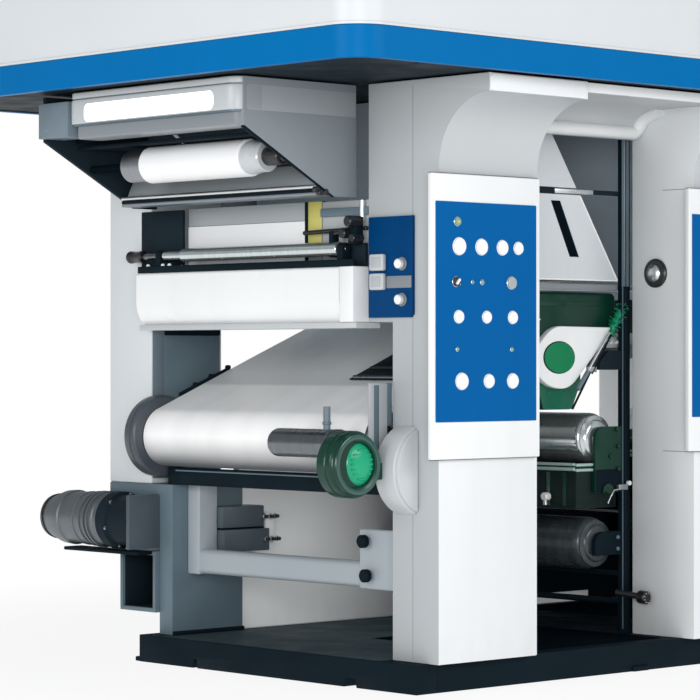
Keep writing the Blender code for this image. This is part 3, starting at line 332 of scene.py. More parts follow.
def extruded(outline, axis, start, end, rim=0.0, steps=2):
    """A flat outline drawn out along an axis, with its edges rounded by the rim."""
    shape = bmesh.new()
    place = AXES[axis]
    face = shape.faces.new([shape.verts.new(place(a, b, start)) for a, b in outline])
    drawn = bmesh.ops.extrude_face_region(shape, geom=[face])
    ends = [item for item in drawn["geom"] if isinstance(item, bmesh.types.BMVert)]
    bmesh.ops.translate(shape, verts=ends, vec=place(0, 0, end - start))
    bmesh.ops.recalc_face_normals(shape, faces=shape.faces)
    return round_edges(shape, rim, steps)


def block(low, high, rim=0.003, steps=2):
    outline = [(low[0], low[1]), (high[0], low[1]), (high[0], high[1]), (low[0], high[1])]
    return extruded(outline, "Z", low[2], high[2], rim, steps)


def arc(center, radius, start, end, steps):
    angles = [math.radians(start + (end - start) * i / steps) for i in range(steps + 1)]
    return [(center[0] + radius * math.cos(a), center[1] + radius * math.sin(a)) for a in angles]


def round_rectangle(left, low, right, high, radius, steps=8):
    points = arc((right - radius, low + radius), radius, -90, 0, steps)
    points += arc((right - radius, high - radius), radius, 0, 90, steps)
    points += arc((left + radius, high - radius), radius, 90, 180, steps)
    return points + arc((left + radius, low + radius), radius, 180, 270, steps)


def turned(profile, segments=64):
    """Spins a profile of (distance along Y, radius) round the Y axis."""
    shape = bmesh.new()
    verts = [shape.verts.new((radius, along, 0)) for along, radius in profile]
    edges = [shape.edges.new(pair) for pair in zip(verts, verts[1:])]
    bmesh.ops.spin(shape, geom=verts + edges, cent=(0, 0, 0), axis=(0, 1, 0), angle=2 * math.pi,
                   steps=segments, use_merge=True)
    bmesh.ops.remove_doubles(shape, verts=shape.verts, dist=1e-6)
    bmesh.ops.recalc_face_normals(shape, faces=shape.faces)
    return shape


def moved(shape, where):
    bmesh.ops.translate(shape, verts=shape.verts, vec=where)
    return shape


def bar(start, end, radius, rim=0.0015, segments=32):
    """A round bar between two points, with small rounded rims."""
    start, end = Vector(start), Vector(end)
    length = (end - start).length
    shape = turned([(0, 0), (0, radius - rim), (rim, radius), (length - rim, radius),
                    (length, radius - rim), (length, 0)], segments)
    turn = Vector((0, 1, 0)).rotation_difference(end - start)
    place = Matrix.Translation(start) @ turn.to_matrix().to_4x4()
    bmesh.ops.transform(shape, matrix=place, verts=shape.verts)
    return shape


def add_strip(shape, first, second):
    """Faces between two rows with as many vertices each."""
    for corners in zip(first, first[1:], second[1:], second):
        shape.faces.new(corners)


def lofted(rings, filled=True):
    """Joins rings with as many points each. The two ends are filled, or else joined together."""
    shape = bmesh.new()
    made = [[shape.verts.new(point) for point in ring] for ring in rings]
    for first, second in zip(made, made[1:] if filled else made[1:] + made[:1]):
        add_strip(shape, first + first[:1], second + second[:1])
    if filled:
        shape.faces.new(made[0])
        shape.faces.new(made[-1])
    bmesh.ops.recalc_face_normals(shape, faces=shape.faces)
    return shape


def swept(points, radius, segments=16):
    """A round tube along a bent path."""
    points = [Vector(point) for point in points]
    rings = []
    side = None
    for i, point in enumerate(points):
        before = (point - points[i - 1]).normalized() if i else None
        after = (points[i + 1] - point).normalized() if i < len(points) - 1 else None
        along = ((before or after) + (after or before)).normalized()
        if side is None:
            side = along.orthogonal().normalized()
        side = (side - along * side.dot(along)).normalized()
        other = along.cross(side)
        wide = radius * (1 / max(0.5, along.dot(after or before))) ** 0.5
        turns = [2 * math.pi * j / segments for j in range(segments)]
        rings.append([point + (side * math.cos(a) + other * math.sin(a)) * wide for a in turns])
    return lofted(rings)


class Piece:
    """One named object made of several shapes, each with a finish of its own."""

    def __init__(self, name, body="press", at=(0, 0, 0)):
        self.name = name
        self.body = body
        self.at = Vector(at)
        self.whole = bmesh.new()
        self.materials = []

    def add(self, shape, material, sides=None, spread=0.9):
        """Adds a shape. Its faces that look along X take the sides' material, if one is given,
        which paints light or shade on them.
        """
        for each in (material, sides):
            if each and each not in self.materials:
                self.materials.append(each)
        shape.normal_update()
        for face in shape.faces:
            chosen = sides if sides and abs(face.normal.x) > spread else material
            face.material_index = self.materials.index(chosen)
        part = bpy.data.meshes.new("part")
        shape.to_mesh(part)
        shape.free()
        self.whole.from_mesh(part)
        bpy.data.meshes.remove(part)

    def box(self, low, high, material, rim=0.003, steps=2):
        self.add(block(low, high, rim, steps), material)

    def rod(self, start, end, radius, material, *fineness):
        self.add(bar(start, end, radius, *fineness), material)

    def tube(self, points, radius, material, segments):
        self.add(swept(points, radius, segments), material)

    def drawn(self, outline, axis, start, end, material, *rims):
        self.add(extruded(outline, axis, start, end, *rims), material)

    def turn(self, profile, material, segments=64):
        self.add(turned(profile, segments), material)

    def ring(self, profile, material, segments=80):
        self.turn(profile + profile[:1], material, segments)

    def screws(self, places, y, out, radius, material, rim=0.001, segments=6):
        """Screw heads at each (x, z), from a face at y outward by a signed length."""
        for x, z in places:
            self.rod((x, y, z), (x, y + out, z), radius, material, rim, segments)

    def finish(self, *replaced, degrees=35):
        mesh = bpy.data.meshes.new(self.name)
        moved(self.whole, self.at).to_mesh(mesh)
        self.whole.free()
        for material in self.materials:
            mesh.materials.append(material)
        mesh.shade_smooth()
        mesh.set_sharp_from_angle(angle=math.radians(degrees))
        made = bpy.data.objects.new(self.name, mesh)
        made.location = ORIGIN
        bpy.context.scene.collection.objects.link(made)
        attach(made, self.body)
        if replaced:
            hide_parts(*replaced)
        return made


def from_corner(name, node, body="press"):
    """A piece that counts from a CAD node's lowest corner, and the node's three sizes."""
    low, high = local(node)
    return Piece(name, body, low), *(high - low)


# Camera, floor and light


def link(thing):
    bpy.context.scene.collection.objects.link(thing)
    return thing


def set_camera():
    data = bpy.data.cameras.new("photo_camera")
    data.sensor_width = 36
    data.lens = 147.4
    camera = link(bpy.data.objects.new("photo_camera", data))
    camera.location = (-8.663, -8.099, 1.181)
    camera.rotation_euler = (math.radians(90.16), 0, math.radians(-42.8))
    bpy.context.scene.camera = camera


def set_floor():
    """A pale floor whose far parts fade into the white surroundings."""
    shape = bmesh.new()
    bmesh.ops.create_circle(shape, cap_ends=True, segments=96, radius=60)
    mesh = bpy.data.meshes.new("floor")
    shape.to_mesh(mesh)
    shape.free()
    floor = link(bpy.data.objects.new("floor", mesh))
    made = Finish("floor_white", (0.90, 0.90, 0.90), 0.75)
    distance = made.node("VectorMath", {0: made.place}, operation="LENGTH").outputs["Value"]
    glow = made.mapped(distance, 2.4, 4.2, 0.88, 1)
    bright = made.node("Emission", {"Strength": 1.0}).outputs["Emission"]
    mix = made.node("MixShader", {"Fac": glow, 1: made.shader.outputs["BSDF"], 2: bright})
    made.tree.links.new(mix.outputs["Shader"], made.tree.nodes["Material Output"].inputs["Surface"])
    mesh.materials.append(made.material)


def add_light(name, place, aim, size, power):
    data = bpy.data.lights.new(name, "AREA")
    data.shape = "RECTANGLE"
    data.size, data.size_y = size
    data.energy = power
    light = link(bpy.data.objects.new(name, data))
    light.location = place
    light.rotation_euler = (Vector(aim) - Vector(place)).to_track_quat("-Z", "Y").to_euler()


def set_lights():
    """Pale surroundings that the camera sees as pure white, and three soft lamps."""
    scene = bpy.context.scene
    scene.view_settings.view_transform = "Standard"
    scene.world = bpy.data.worlds.new("studio")
    scene.world.use_nodes = True
    tree = scene.world.node_tree
    ambient = tree.nodes["Background"]
    ambient.inputs["Color"].default_value = (0.93, 0.96, 1.0, 1)
    ambient.inputs["Strength"].default_value = 0.38
    white = add_node(tree, "Background", {"Color": (1, 1, 1, 1)}).outputs["Background"]
    seen = add_node(tree, "LightPath", {}).outputs["Is Camera Ray"]
    mix = add_node(tree, "MixShader", {"Fac": seen, 1: ambient.outputs["Background"], 2: white})
    tree.links.new(mix.outputs["Shader"], tree.nodes["World Output"].inputs["Surface"])
    add_light("key", (0.6, -9.0, 4.6), (-0.2, 0, 1.2), (6, 3), 270)
    add_light("side", (-9.5, -0.6, 3.2), (-1.2, 0, 1.2), (4, 3), 215)
    add_light("low_front", (-6.8, -6.4, 1.6), (-0.2, 0.5, 0.9), (3, 2), 225)


# Canopy and hood


CANOPY_LOW, CANOPY_HIGH = local("canopy_band")
SOFFIT, BAND_TOP = CANOPY_LOW.z, CANOPY_HIGH.z
CANOPY_TOP = local("canopy_housing")[1].z
CANOPY_RADIUS = 0.13


def canopy_ring(inset, height):
    """The canopy's rounded plan, moved in by the inset, at one height."""
    plan = round_rectangle(CANOPY_LOW.x + inset, CANOPY_LOW.y + inset, CANOPY_HIGH.x - inset,
                           CANOPY_HIGH.y - inset, CANOPY_RADIUS - inset, 16)
    return [(x, y, height) for x, y in plan]


def add_canopy():
    """White housing on a thin bright flange, blue band round its foot, dark underside."""
    foot, fold = BAND_TOP + 0.0005, 0.028
    wall = [(0.030, foot), (0.002, foot), (0.0005, foot + 0.0015), (0.0005, foot + 0.008),
            (0.002, foot + 0.0095), (0.005, foot + 0.010), (0.005, CANOPY_TOP - fold)]
    wall += [(0.033 - x, CANOPY_TOP - fold + z) for x, z in arc((0, 0), fold, 15, 90, 5)]
    housing = Piece("canopy_shell")
    housing.add(lofted([canopy_ring(*row) for row in wall]), CANOPY_WHITE)
    back = CANOPY_HIGH.y - 0.0058
    for seam in (1.16, 2.32, 3.48):
        x = CANOPY_LOW.x + seam
        housing.box((x - 0.0015, back, BAND_TOP + 0.02),
                    (x + 0.0015, back + 0.0012, CANOPY_TOP - 0.035),
                    SHADE_GREY, 0)
    housing.finish("canopy_housing", degrees=30)

    rows = [(0.030, SOFFIT + 0.001), (0.003, SOFFIT + 0.001), (0.001, SOFFIT + 0.003),
            (0.001, BAND_TOP - 0.003), (0.003, BAND_TOP - 0.001), (0.030, BAND_TOP - 0.001)]
    band = Piece("canopy_blue_band")
    band.add(lofted([canopy_ring(*row) for row in rows], filled=False), BLUE)
    band.finish("canopy_band", degrees=30)

    rows = [(0.0303, BAND_TOP - 0.002), (0.0303, SOFFIT + 0.006), (0.0333, SOFFIT + 0.003),
            (0.0483, SOFFIT + 0.003), (0.0503, SOFFIT + 0.006)]
    under = Piece("canopy_underside")
    under.add(lofted([canopy_ring(*row) for row in rows]), DARK_SLATE)
    for x in (-0.35, 0.25, 0.94, 1.62, 2.31, 2.99):
        under.box((x - 0.002, CANOPY_LOW.y + 0.06, SOFFIT + 0.0045),
                  (x + 0.002, -0.235, SOFFIT + 0.007),
                  BLACK, 0)
    under.finish("canopy_soffit", degrees=30)


HOOD_LOW, HOOD_HIGH = local("hood_shell")
HOOD_SHELF = HOOD_LOW.x + 0.175
HOOD_BOTTOM = 1.995
HOOD_TOP = SOFFIT - 0.0005
HOOD_FAR = local("hood_far_cheek")[1].y
CHEEK_LOW = local("hood_far_cheek")[0].z
CHEEK_START = -0.11
ENTRY_ROLLER_X = -0.32


def add_hood():
    """Hood shell with its lamp, the near cheek, and the tray behind the entry roller."""
    left, near = HOOD_LOW.x, HOOD_LOW.y
    right, far, top = HOOD_HIGH.x, 1.395, HOOD_TOP
    foot, seam = HOOD_BOTTOM + 0.052, HOOD_BOTTOM + 0.143
    shell = Piece("hood_cover")
    # Faces along X take the paler paint and the rest the darker grey, as painted shade; the lowest
    # strip is grey all round, painted shade
    for low, high, inset, radius, front in (
        (seam + 0.002, top, 0.004, 0.050, HOOD_WHITE),
        (foot, seam, 0.0, 0.058, HOOD_WHITE),
        (HOOD_BOTTOM, foot - 0.003, 0.022, 0.040, SHADE_GREY),
    ):
        outline = round_rectangle(left + inset, near + inset * 0.2, HOOD_SHELF - inset, far - inset,
                                  radius, 14)
        shell.add(extruded(outline, "Z", low, high, 0.006, 3), HOOD_SHADE_GREY, front, 0.30)
    inner = round_rectangle(left + 0.010, near + 0.006, HOOD_SHELF - 0.01, far - 0.01, 0.045, 12)
    shell.drawn(inner, "Z", foot - 0.006, seam + 0.006, SLATE)
    for y, low, high in ((near + 0.0002, foot, seam), (near + 0.0022, seam + 0.002, top)):
        shell.box((left + 0.058, y, low), (right - 0.002, near + 0.010, high), HOOD_SHADE_GREY, 0.002)
    start = left + 0.035
    side = [(start, HOOD_BOTTOM), (CHEEK_START, CHEEK_LOW), (right, CHEEK_LOW), (right, top),
            (start, top)]
    shell.drawn(side, "Y", near + 0.0004, near + 0.0196, CHEEK_GREY, 0.0025)
    knobs = [(x, CHEEK_LOW + z) for x, z in ((-0.198, 0.022), (-0.176, 0.012), (-0.150, 0.014))]
    shell.screws(knobs, near - 0.004, 0.016, 0.011, BLACK_PLASTIC, 0.002, 20)
    shell.tube([(start + 0.006, near + 0.010, HOOD_BOTTOM - 0.002),
                (CHEEK_START + 0.004, near + 0.010, CHEEK_LOW + 0.004)], 0.009, BLACK, 10)
    shell.finish("hood_shell")

    lamp = Piece("hood_lamp")
    outline = round_rectangle(near + 0.120, foot + 0.004, far - 0.112, seam - 0.018, 0.024, 10)
    lamp.drawn(outline, "X", left - 0.0005, left + 0.02, LAMP, 0.002)
    lamp.finish()

    tray = Piece("hood_tray", at=(CHEEK_START, 0, CHEEK_LOW))
    end, rise = right - 0.005 - CHEEK_START, top - CHEEK_LOW
    slope = [(-0.062, 0.030), (-0.062, 0.002), (0.012, 0.002), (end, rise), (end - 0.010, rise),
             (0, 0.014), (-0.052, 0.014), (-0.052, 0.030)]
    tray.drawn(slope, "Y", near + 0.0205, HOOD_FAR - 0.0205, SLATE, 0.0015)
    shelf = [(-0.004, 0.014), (-0.050, 0.014), (-0.050, 0.030), (-0.008, 0.120), (0.020, 0.120)]
    tray.drawn(shelf, "Y", near + 0.03, HOOD_FAR - 0.025, HOOD_SHADE_GREY, 0.0015)
    for z, radius, material in ((0.034, 0.0075, BRIGHT_STEEL), (0.020, 0.006, BLACK),
                                (0.008, 0.006, SHADE_GREY)):
        tray.rod((-0.066, near + 0.022, z), (-0.066, HOOD_FAR - 0.022, z), radius, material)
    tray.box((-0.30, near + 0.10, 0.21), (-0.10, HOOD_FAR - 0.05, 0.222), BLACK, 0.002)
    tray.finish("hood_back")

    cheek = Piece("hood_dark_cheek")
    cheek.drawn(side, "Y", HOOD_FAR - 0.02, HOOD_FAR, DARK_SLATE, 0.002)
    cheek.box((left + 0.01, far + 0.0005, HOOD_BOTTOM + 0.01),
              (left + 0.12, HOOD_FAR - 0.004, SOFFIT - 0.028), MID_SLATE, 0.004)
    cheek.finish("hood_far_cheek")

    inside = Piece("hood_inside", at=(HOOD_SHELF, 0, 0))
    # A black plate across the hood's inside: painted shade in its recess
    inside.box((-0.001, near + 0.021, HOOD_BOTTOM + 0.002), (0.008, HOOD_FAR - 0.021, top - 0.001),
               BLACK, 0.001)
    hook = [(0.004, 1.03, HOOD_BOTTOM + 0.02), (0.03, 1.02, 2.01), (0.05, 1.00, 1.985),
            (0.055, 0.985, 1.972)]
    inside.tube(hook, 0.006, WHITE_CAP, 12)
    inside.finish()


def add_hood_roller():
    """White paper sleeve on a steel core, with grey end and a light collar."""
    near = HOOD_LOW.y + 0.0205
    end = HOOD_FAR - 0.0205 - near
    where = (ENTRY_ROLLER_X, near, middle("hood_roller").z)
    roller = Piece("entry_roller", "hood_roller", where)
    for profile, material in (
        ([(0, 0), (0, 0.022), (0.020, 0.022), (0.020, 0)], DARK_STEEL),
        ([(0.020, 0), (0.020, 0.030), (0.024, 0.034), (0.098, 0.034), (0.100, 0.020), (0.100, 0)],
         BLACK_PLASTIC),
        ([(0.1001, 0), (0.1001, 0.050), (0.106, 0.056), (0.150, 0.056), (0.156, 0.060),
          (0.190, 0.060),
          (0.190, 0)], COLLAR),
        ([(0.1901, 0), (0.1901, 0.064), (0.194, 0.068), (end - 0.365, 0.068), (end - 0.361, 0.064),
          (end - 0.361, 0)], SLEEVE),
        ([(end - 0.3609, 0), (end - 0.3609, 0.056), (end - 0.356, 0.060), (end - 0.246, 0.060),
          (end - 0.241, 0.055), (end - 0.241, 0)], TURNED_CAP),
        ([(end - 0.2409, 0), (end - 0.2409, 0.014), (end, 0.014), (end, 0)], MATT_BLACK_AND_SHADE),
    ):
        roller.turn(profile, material)
    roller.finish("hood_roller")


# Operator columns and header


END_DEPTH = 0.235
DEPTH = local("front_column_2")[1].y
BLOCK_DEPTH = local("front_column_1")[1].y
BLOCK_BOTTOM = 1.31
PLINTH_TOP = local("front_column_1")[0].z
UNDER_SOFFIT = SOFFIT - 0.0003
COVE = 0.25
COVE_START = 1.85
COVER_LOW, COVER_HIGH = local("column_cover_1")
PANEL_LOW, PANEL_HIGH = local("button_panel_1")


def column_outline(depth, block_depth):
    """A column's side, from its foot up the rounded front and down the back."""
    points = [(0, PLINTH_TOP), *arc((-COVE, COVE_START), COVE, 0, 90, 28), (-COVE, UNDER_SOFFIT),
              (block_depth, UNDER_SOFFIT)]
    if block_depth != depth:
        points += [(block_depth, BLOCK_BOTTOM), (depth, BLOCK_BOTTOM)]
    return points + [(depth, PLINTH_TOP)]


def add_column(number):
    """Column with painted shade on its head and first side, its seams, and the proud cover behind
    the buttons.
    """
    first = number == 0
    depths = (END_DEPTH, BLOCK_DEPTH) if first else (DEPTH, DEPTH)
    # The first column's faces along X take the darker grey: painted shade
    sides = GREY_AND_SIDE_SHADE if first else NEXT_SIDE_GREY
    width = COLUMN_WIDTH
    column = Piece(f"operator_column_{number + 1}", at=bay(number))
    column.add(extruded(column_outline(*depths), "X", 0, width, 0.004), COLUMN_GREY, sides)
    # The head's rounded front in the darker grey: painted shade
    bow = arc((-COVE - 0.0006, COVE_START), COVE, -4, 90, 28)
    bow += [(y + 0.0020, z + 0.0016) for y, z in reversed(bow)]
    column.add(extruded(bow, "X", 0.0006, width - 0.0006), GREY_AND_HEAD_SHADE, sides)
    head = round_rectangle(0.001, COVE_START + COVE + 0.002, width - 0.018, SOFFIT - 0.004, 0.016)
    column.drawn(head, "Y", -COVE - 0.004, -COVE + 0.002, NEXT_SIDE_GREY, 0.002)
    if first:
        column.box((-0.0005, 0.129, PLINTH_TOP + 0.01), (0.001, 0.131, SOFFIT - 0.02), SHADE_GREY,
                   0)
    else:
        for z in (COVER_LOW.z, COVER_HIGH.z):
            column.box((-0.0006, 0.004, z - 0.002), (width + 0.0006, DEPTH / 2, z + 0.0005),
                       SHADE_GREY, 0)
    column.finish(f"front_column_{number + 1}", degrees=25)

    cover = Piece(f"button_cover_{number + 1}", at=bay(number))
    low, high = COVER_LOW, COVER_HIGH
    cover.box((low.x, low.y, low.z + 0.002), (high.x, high.y, high.z - 0.002), WHITE, 0.005, 3)
    cover.box((low.x + 0.006, low.y + 0.006, low.z), (high.x - 0.006, high.y, high.z), BLACK, 0)
    cover.finish(f"column_cover_{number + 1}")


# Each row's height as a share of the panel's, then each button's place from the left edge,
# radius and kind.
BUTTONS = (
    (0.910, ((0.104, 0.015, "lamp"),)),
    (0.798, ((0.113, 0.030, "white"), (0.224, 0.028, "white"), (0.330, 0.026, "white"),
             (0.412, 0.022, "white"))),
    (0.637, ((0.098, 0.017, "selector"), (0.179, 0.006, "pilot"), (0.228, 0.009, "pilot"),
             (0.377, 0.022, "grey"))),
    (0.478, ((0.111, 0.022, "white"), (0.251, 0.021, "white"), (0.383, 0.022, "white"))),
    (0.330, ((0.104, 0.007, "pilot"), (0.379, 0.007, "pilot"))),
    (0.185, ((0.126, 0.029, "white"), (0.262, 0.024, "white"), (0.383, 0.026, "white"))),
)
CAPS = {"white": WHITE_CAP, "grey": GREY_CAP, "lamp": GREEN_CAP, "pilot": GREEN_CAP,
        "selector": BLACK_PLASTIC}


def add_button(panel, center, radius, kind):
    """One push button, lamp or selector, standing on the panel and facing the operator."""

    def face(profile, material):
        # The profile is (distance out of the panel, radius)
        panel.add(moved(turned([(-out, wide) for out, wide in profile], 40), center), material)

    bezel = radius + (0.0015 if kind == "pilot" else 0.002)
    face([(0, 0), (0, bezel), (0.002, bezel), (0.003, bezel - 0.001), (0.003, 0)],
         WHITE_CAP if kind == "white" else BRIGHT_STEEL)
    base, top, rim = 0.0031, 0.0085, 0.003
    crown = [(base, 0), (base, radius)]
    if kind == "pilot":
        crown += [(base + 0.005 * up, radius * wide) for wide, up in arc((0, 0), 1, 20, 80, 3)]
        crown += [(base + 0.005, 0)]
    else:
        crown += [(top - rim + up, radius - rim + wide) for wide, up in arc((0, 0), rim, 0, 90, 4)]
        crown += [(top + 0.0004, radius * 0.5), (top + 0.0005, 0)]
    face(crown, CAPS[kind])
    if kind == "selector":
        handle = block((-0.004, -0.0165, -0.012), (0.004, -0.008, 0.012), 0.001)
        turn = Matrix.Rotation(0.7, 3, "Y")
        bmesh.ops.rotate(handle, verts=handle.verts, cent=(0, 0, 0), matrix=turn)
        panel.add(moved(handle, center), WHITE_CAP)
        mark = block((0.010, -0.006, -0.012), (0.018, -0.001, -0.004), 0.001)
        panel.add(moved(mark, center), YELLOW_CAP)
    if kind == "lamp":
        face([(top, 0), (top, radius * 0.45), (top + 0.003, radius * 0.3), (top + 0.0035, 0)],
             YELLOW_CAP)


def add_button_panel(number):
    back = COVER_LOW.y - 0.0003
    front = back - 0.003
    panel = Piece(f"operator_panel_{number + 1}", at=bay(number))
    outline = round_rectangle(PANEL_LOW.x, PANEL_LOW.z, PANEL_HIGH.x, PANEL_HIGH.z, 0.004, 4)
    panel.drawn(outline, "Y", front, back, PANEL_BLUE, 0.0008, 1)
    for share, row in BUTTONS:
        z = PANEL_LOW.z + share * (PANEL_HIGH.z - PANEL_LOW.z)
        for across, radius, kind in row:
            add_button(panel, (PANEL_LOW.x + across, front, z), radius, kind)
    panel.finish(f"button_panel_{number + 1}")


def add_header(number):
    """Lintel between two columns: fascia strip, top plate, cove in a darker grey as painted shade,
    and a glossy lip.
    """
    low, high = local(f"header_{number + 1}")
    start, end, fascia = low.x, high.x, low.y
    foot = low.z + 0.018
    lip, lip_top = 0.262, foot + 0.05
    cove, plate = 0.11, SOFFIT - 0.023
    slope = [(cove + across * (lip - cove), lip_top + up * (plate - lip_top))
             for across, up in arc((0, 0), 1, 0, 90, 20)]
    outline = [(DEPTH, foot), (lip + 0.012, foot), (lip, foot + 0.012), *slope,
               (fascia + 0.012, plate),
               (fascia + 0.012, UNDER_SOFFIT), (DEPTH, UNDER_SOFFIT)]
    header = Piece(f"header_shell_{number + 1}")
    header.drawn(outline, "X", start, end, COVE_SHADE_GREY)
    header.box((start, fascia, SOFFIT - 0.035), (end, fascia + 0.02, UNDER_SOFFIT), NEXT_SIDE_GREY)
    header.box((start + 0.001, fascia + 0.021, plate - 0.010),
               (end - 0.001, fascia + 0.030, plate + 0.001),
               SHADE_GREY, 0.002)
    z = (foot + lip_top) / 2
    path = [(start + 0.02, lip + 0.012, z), (end - 0.045, lip + 0.012, z),
            (end - 0.030, lip + 0.010, z + 0.008), (end - 0.022, lip - 0.004, z + 0.026)]
    path += [(end - 0.020, y - 0.002, z - 0.004) for y, z in slope[4:17:4]]
    header.tube(path, 0.027, WHITE, 20)
    header.finish(f"header_{number + 1}", degrees=30)


# Cross beam, guide roller and window above it


BEAM_LOW, BEAM_HIGH = local("end_beam")
GUIDE_X = -0.04
GUIDE_Z = 1.575


def add_beam():
    """White beam with a folded foot and an end block, on a narrow ledge."""
    beam, back, far, top = from_corner("cross_beam", "end_beam")
    foot = 0.022
    outline = [(back, top), *arc((0.012, top - 0.012), 0.012, 90, 180, 6), (0, foot + 0.075),
               (0.006, foot + 0.050), (0.018, foot + 0.022), (0.040, foot), (back, foot)]
    beam.drawn(outline, "Y", 0.075, far, WHITE)
    beam.box((0.016, 0, 0), (back, far, foot - 0.0005), GREY_AND_HEAD_SHADE, 0.002)
    beam.box((0, 0, foot), (back, 0.0735, top), WHITE, 0.004)
    beam.finish("end_beam", degrees=30)


def add_guide():
    """Carrier with its ears and screws, and the chromed guide roller with a black knob."""
    low, high = local("guide_carrier")
    x, near, far, z = GUIDE_X, low.y, high.y, low.z
    left, shelf = BEAM_LOW.x, BEAM_HIGH.z
    carrier = Piece("guide_carrier_rail")
    carrier.box(low, (high.x, far, z + 0.0217), BLACK, 0.0015)
    ear = [(x - 0.022, z + 0.018), (x + 0.022, z + 0.018), *arc((x, GUIDE_Z), 0.022, 0, 180, 20)]
    for y in (near, far - 0.03):
        carrier.drawn(ear, "Y", y + 0.0005, y + 0.0295, BLACK, 0.0015)
    for y in (near + 0.09, near + 0.4, near + 0.7, far - 0.16, far - 0.07):
        carrier.rod((x - 0.020, y, z + 0.0217), (x - 0.020, y, z + 0.0265), 0.005, BRIGHT_STEEL,
                    0.001, 16)
    carrier.box((left + 0.003, BEAM_LOW.y + 0.002, shelf + 0.0005),
                (left + 0.016, BEAM_HIGH.y - 0.004, shelf + 0.026), BLACK, 0.002)
    carrier.box((x - 0.016, far - 0.10, z + 0.002), (x + 0.030, far + 0.09, z + 0.040), BLACK,
                0.004)
    for y in (far - 0.085, far - 0.045, far + 0.045):
        carrier.rod((x - 0.015, y, z + 0.026), (x - 0.024, y, z + 0.026), 0.009, WHITE_CAP, 0.002,
                    20)
    carrier.box((x + 0.028, BEAM_LOW.y + 0.004, shelf + 0.001),
                (x + 0.044, BEAM_LOW.y + 0.15, shelf + 0.085), DARK_SLATE)
    carrier.finish("guide_carrier")

    start, end = local("guide_roller")[0].y, far - 0.150
    shaft = [(start, 0), (start, 0.011), (start + 0.001, 0.012), (far + 0.095, 0.012),
             (far + 0.095, 0)]
    body = [(near + 0.036, 0), (near + 0.036, 0.024), (near + 0.038, 0.026), (end - 0.002, 0.026),
            (end, 0.024), (end, 0.017), (far - 0.036, 0.017), (far - 0.036, 0)]
    knob = [(far + along, wide) for along, wide in (
        (0.095, 0), (0.095, 0.020), (0.099, 0.024), (0.112, 0.024), (0.115, 0.022), (0.165, 0.022),
        (0.168, 0.024), (0.178, 0.024), (0.184, 0.020), (0.185, 0))]
    roller = Piece("guide_roller_chromed", "guide_roller", (x, 0, GUIDE_Z))
    roller.turn(shaft, DARK_STEEL, 40)
    roller.turn(body, CHROME, 56)
    roller.turn(knob, BLACK_PLASTIC, 40)
    roller.finish("guide_roller")


def add_window():
    """Web plate with its grey top, the yellow marking strip, and the small clamp gear."""
    low, high = local("web_plate")
    plate, w, d, h = from_corner("window_plate", "web_plate")
    plate.box((0, 0.10, 0), (w, d, 0.176), SLEEVE, 0.002)
    plate.box((0.002, 0.10, 0.177), (w, d, h), PLATE_GREY, 0.002)
    plate.box((-0.001, 0.012, 0.085), (w, 0.088, h), YELLOW, 0.002)
    plate.box((0.001, 0.008, 0), (w, 0.088, 0.084), PLATE_GREY, 0.001)
    plate.box((-0.005, 0.087, 0), (w, 0.101, h), BLACK, 0.001)
    plate.box((-0.004, 0, 0), (w, 0.008, h), BLACK_PLASTIC, 0.001)
    plate.finish("web_plate")

    slate = Piece("window_slate")
    slate.box((low.x - 0.026, high.y + 0.004, low.z + 0.003),
              (low.x - 0.012, 1.657, high.z - 0.004),
              DARK_SLATE, 0.002)
    slate.finish()

    near = BLOCK_DEPTH + 0.001
    far = low.y - near
    gear = Piece("window_gear", at=(0, near, 0))
    gear.box((0.012, 0, low.z), (0.030, far - 0.001, high.z - 0.004), GREY_AND_SIDE_SHADE, 0.002)
    gear.box((-0.002, 0, high.z - 0.060), (0.0118, far - 0.004, high.z - 0.030), SLATE)
    gear.rod((0, 0.030, low.z), (0, 0.030, high.z - 0.005), 0.010, BRIGHT_STEEL)
    gear.rod((-0.005, 0, 1.648), (-0.005, far + 0.08, 1.640), 0.008, BLACK_PLASTIC)
    gear.box((-0.045, 0.015, 1.590), (-0.008, 0.060, 1.690), BLACK, 0.004)
    for start, radius, rim in (((-0.078, 0.030, 1.672), 0.020, 0.004),
                               ((-0.072, 0.066, 1.630), 0.018, 0.004),
                               ((-0.066, 0.020, 1.612), 0.015, 0.003)):
        gear.rod(start, (-0.010, *start[1:]), radius, BLACK_PLASTIC, rim)
    gear.box((-0.056, 0.128, 1.545), (-0.022, 0.150, 1.640), BLACK, 0.004)
    gear.rod((-0.046, 0.130, 1.630), (-0.046, 0.06, 1.645), 0.007, BLACK_PLASTIC)
    gear.finish()


def add_switch_panel():
    """Blue panel with two round buttons, two switch plates and a blank plate."""
    panel, w, d, h = from_corner("side_switch_panel", "switch_panel")
    x = w - 0.012
    panel.drawn([(0, 0.012), (0, h), (d, h), (d, 0), (0.012, 0)], "X", x, w, DEEP_BLUE, 0.0015)
    for z in (h - 0.170, h - 0.297):
        panel.rod((x, 0.050, z), (x - 0.008, 0.050, z), 0.024, SHADE_GREY, 0.002)
        panel.rod((x - 0.008, 0.050, z), (x - 0.030, 0.050, z), 0.0175, WHITE_CAP, 0.004)
    for z in (h - 0.163, h - 0.232):
        panel.box((x - 0.018, d - 0.094, z - 0.030), (x, d - 0.020, z + 0.030), GREY_AND_HEAD_SHADE, 0.006)
        panel.box((x - 0.0205, d - 0.080, z - 0.018), (x - 0.017, d - 0.034, z + 0.018), GREY_AND_SIDE_SHADE)
    panel.box((x - 0.006, 0.002, h - 0.256), (x, d - 0.098, h - 0.212), SHADE_GREY)
    panel.finish("switch_panel")


# Web, draw roller and what stands round them


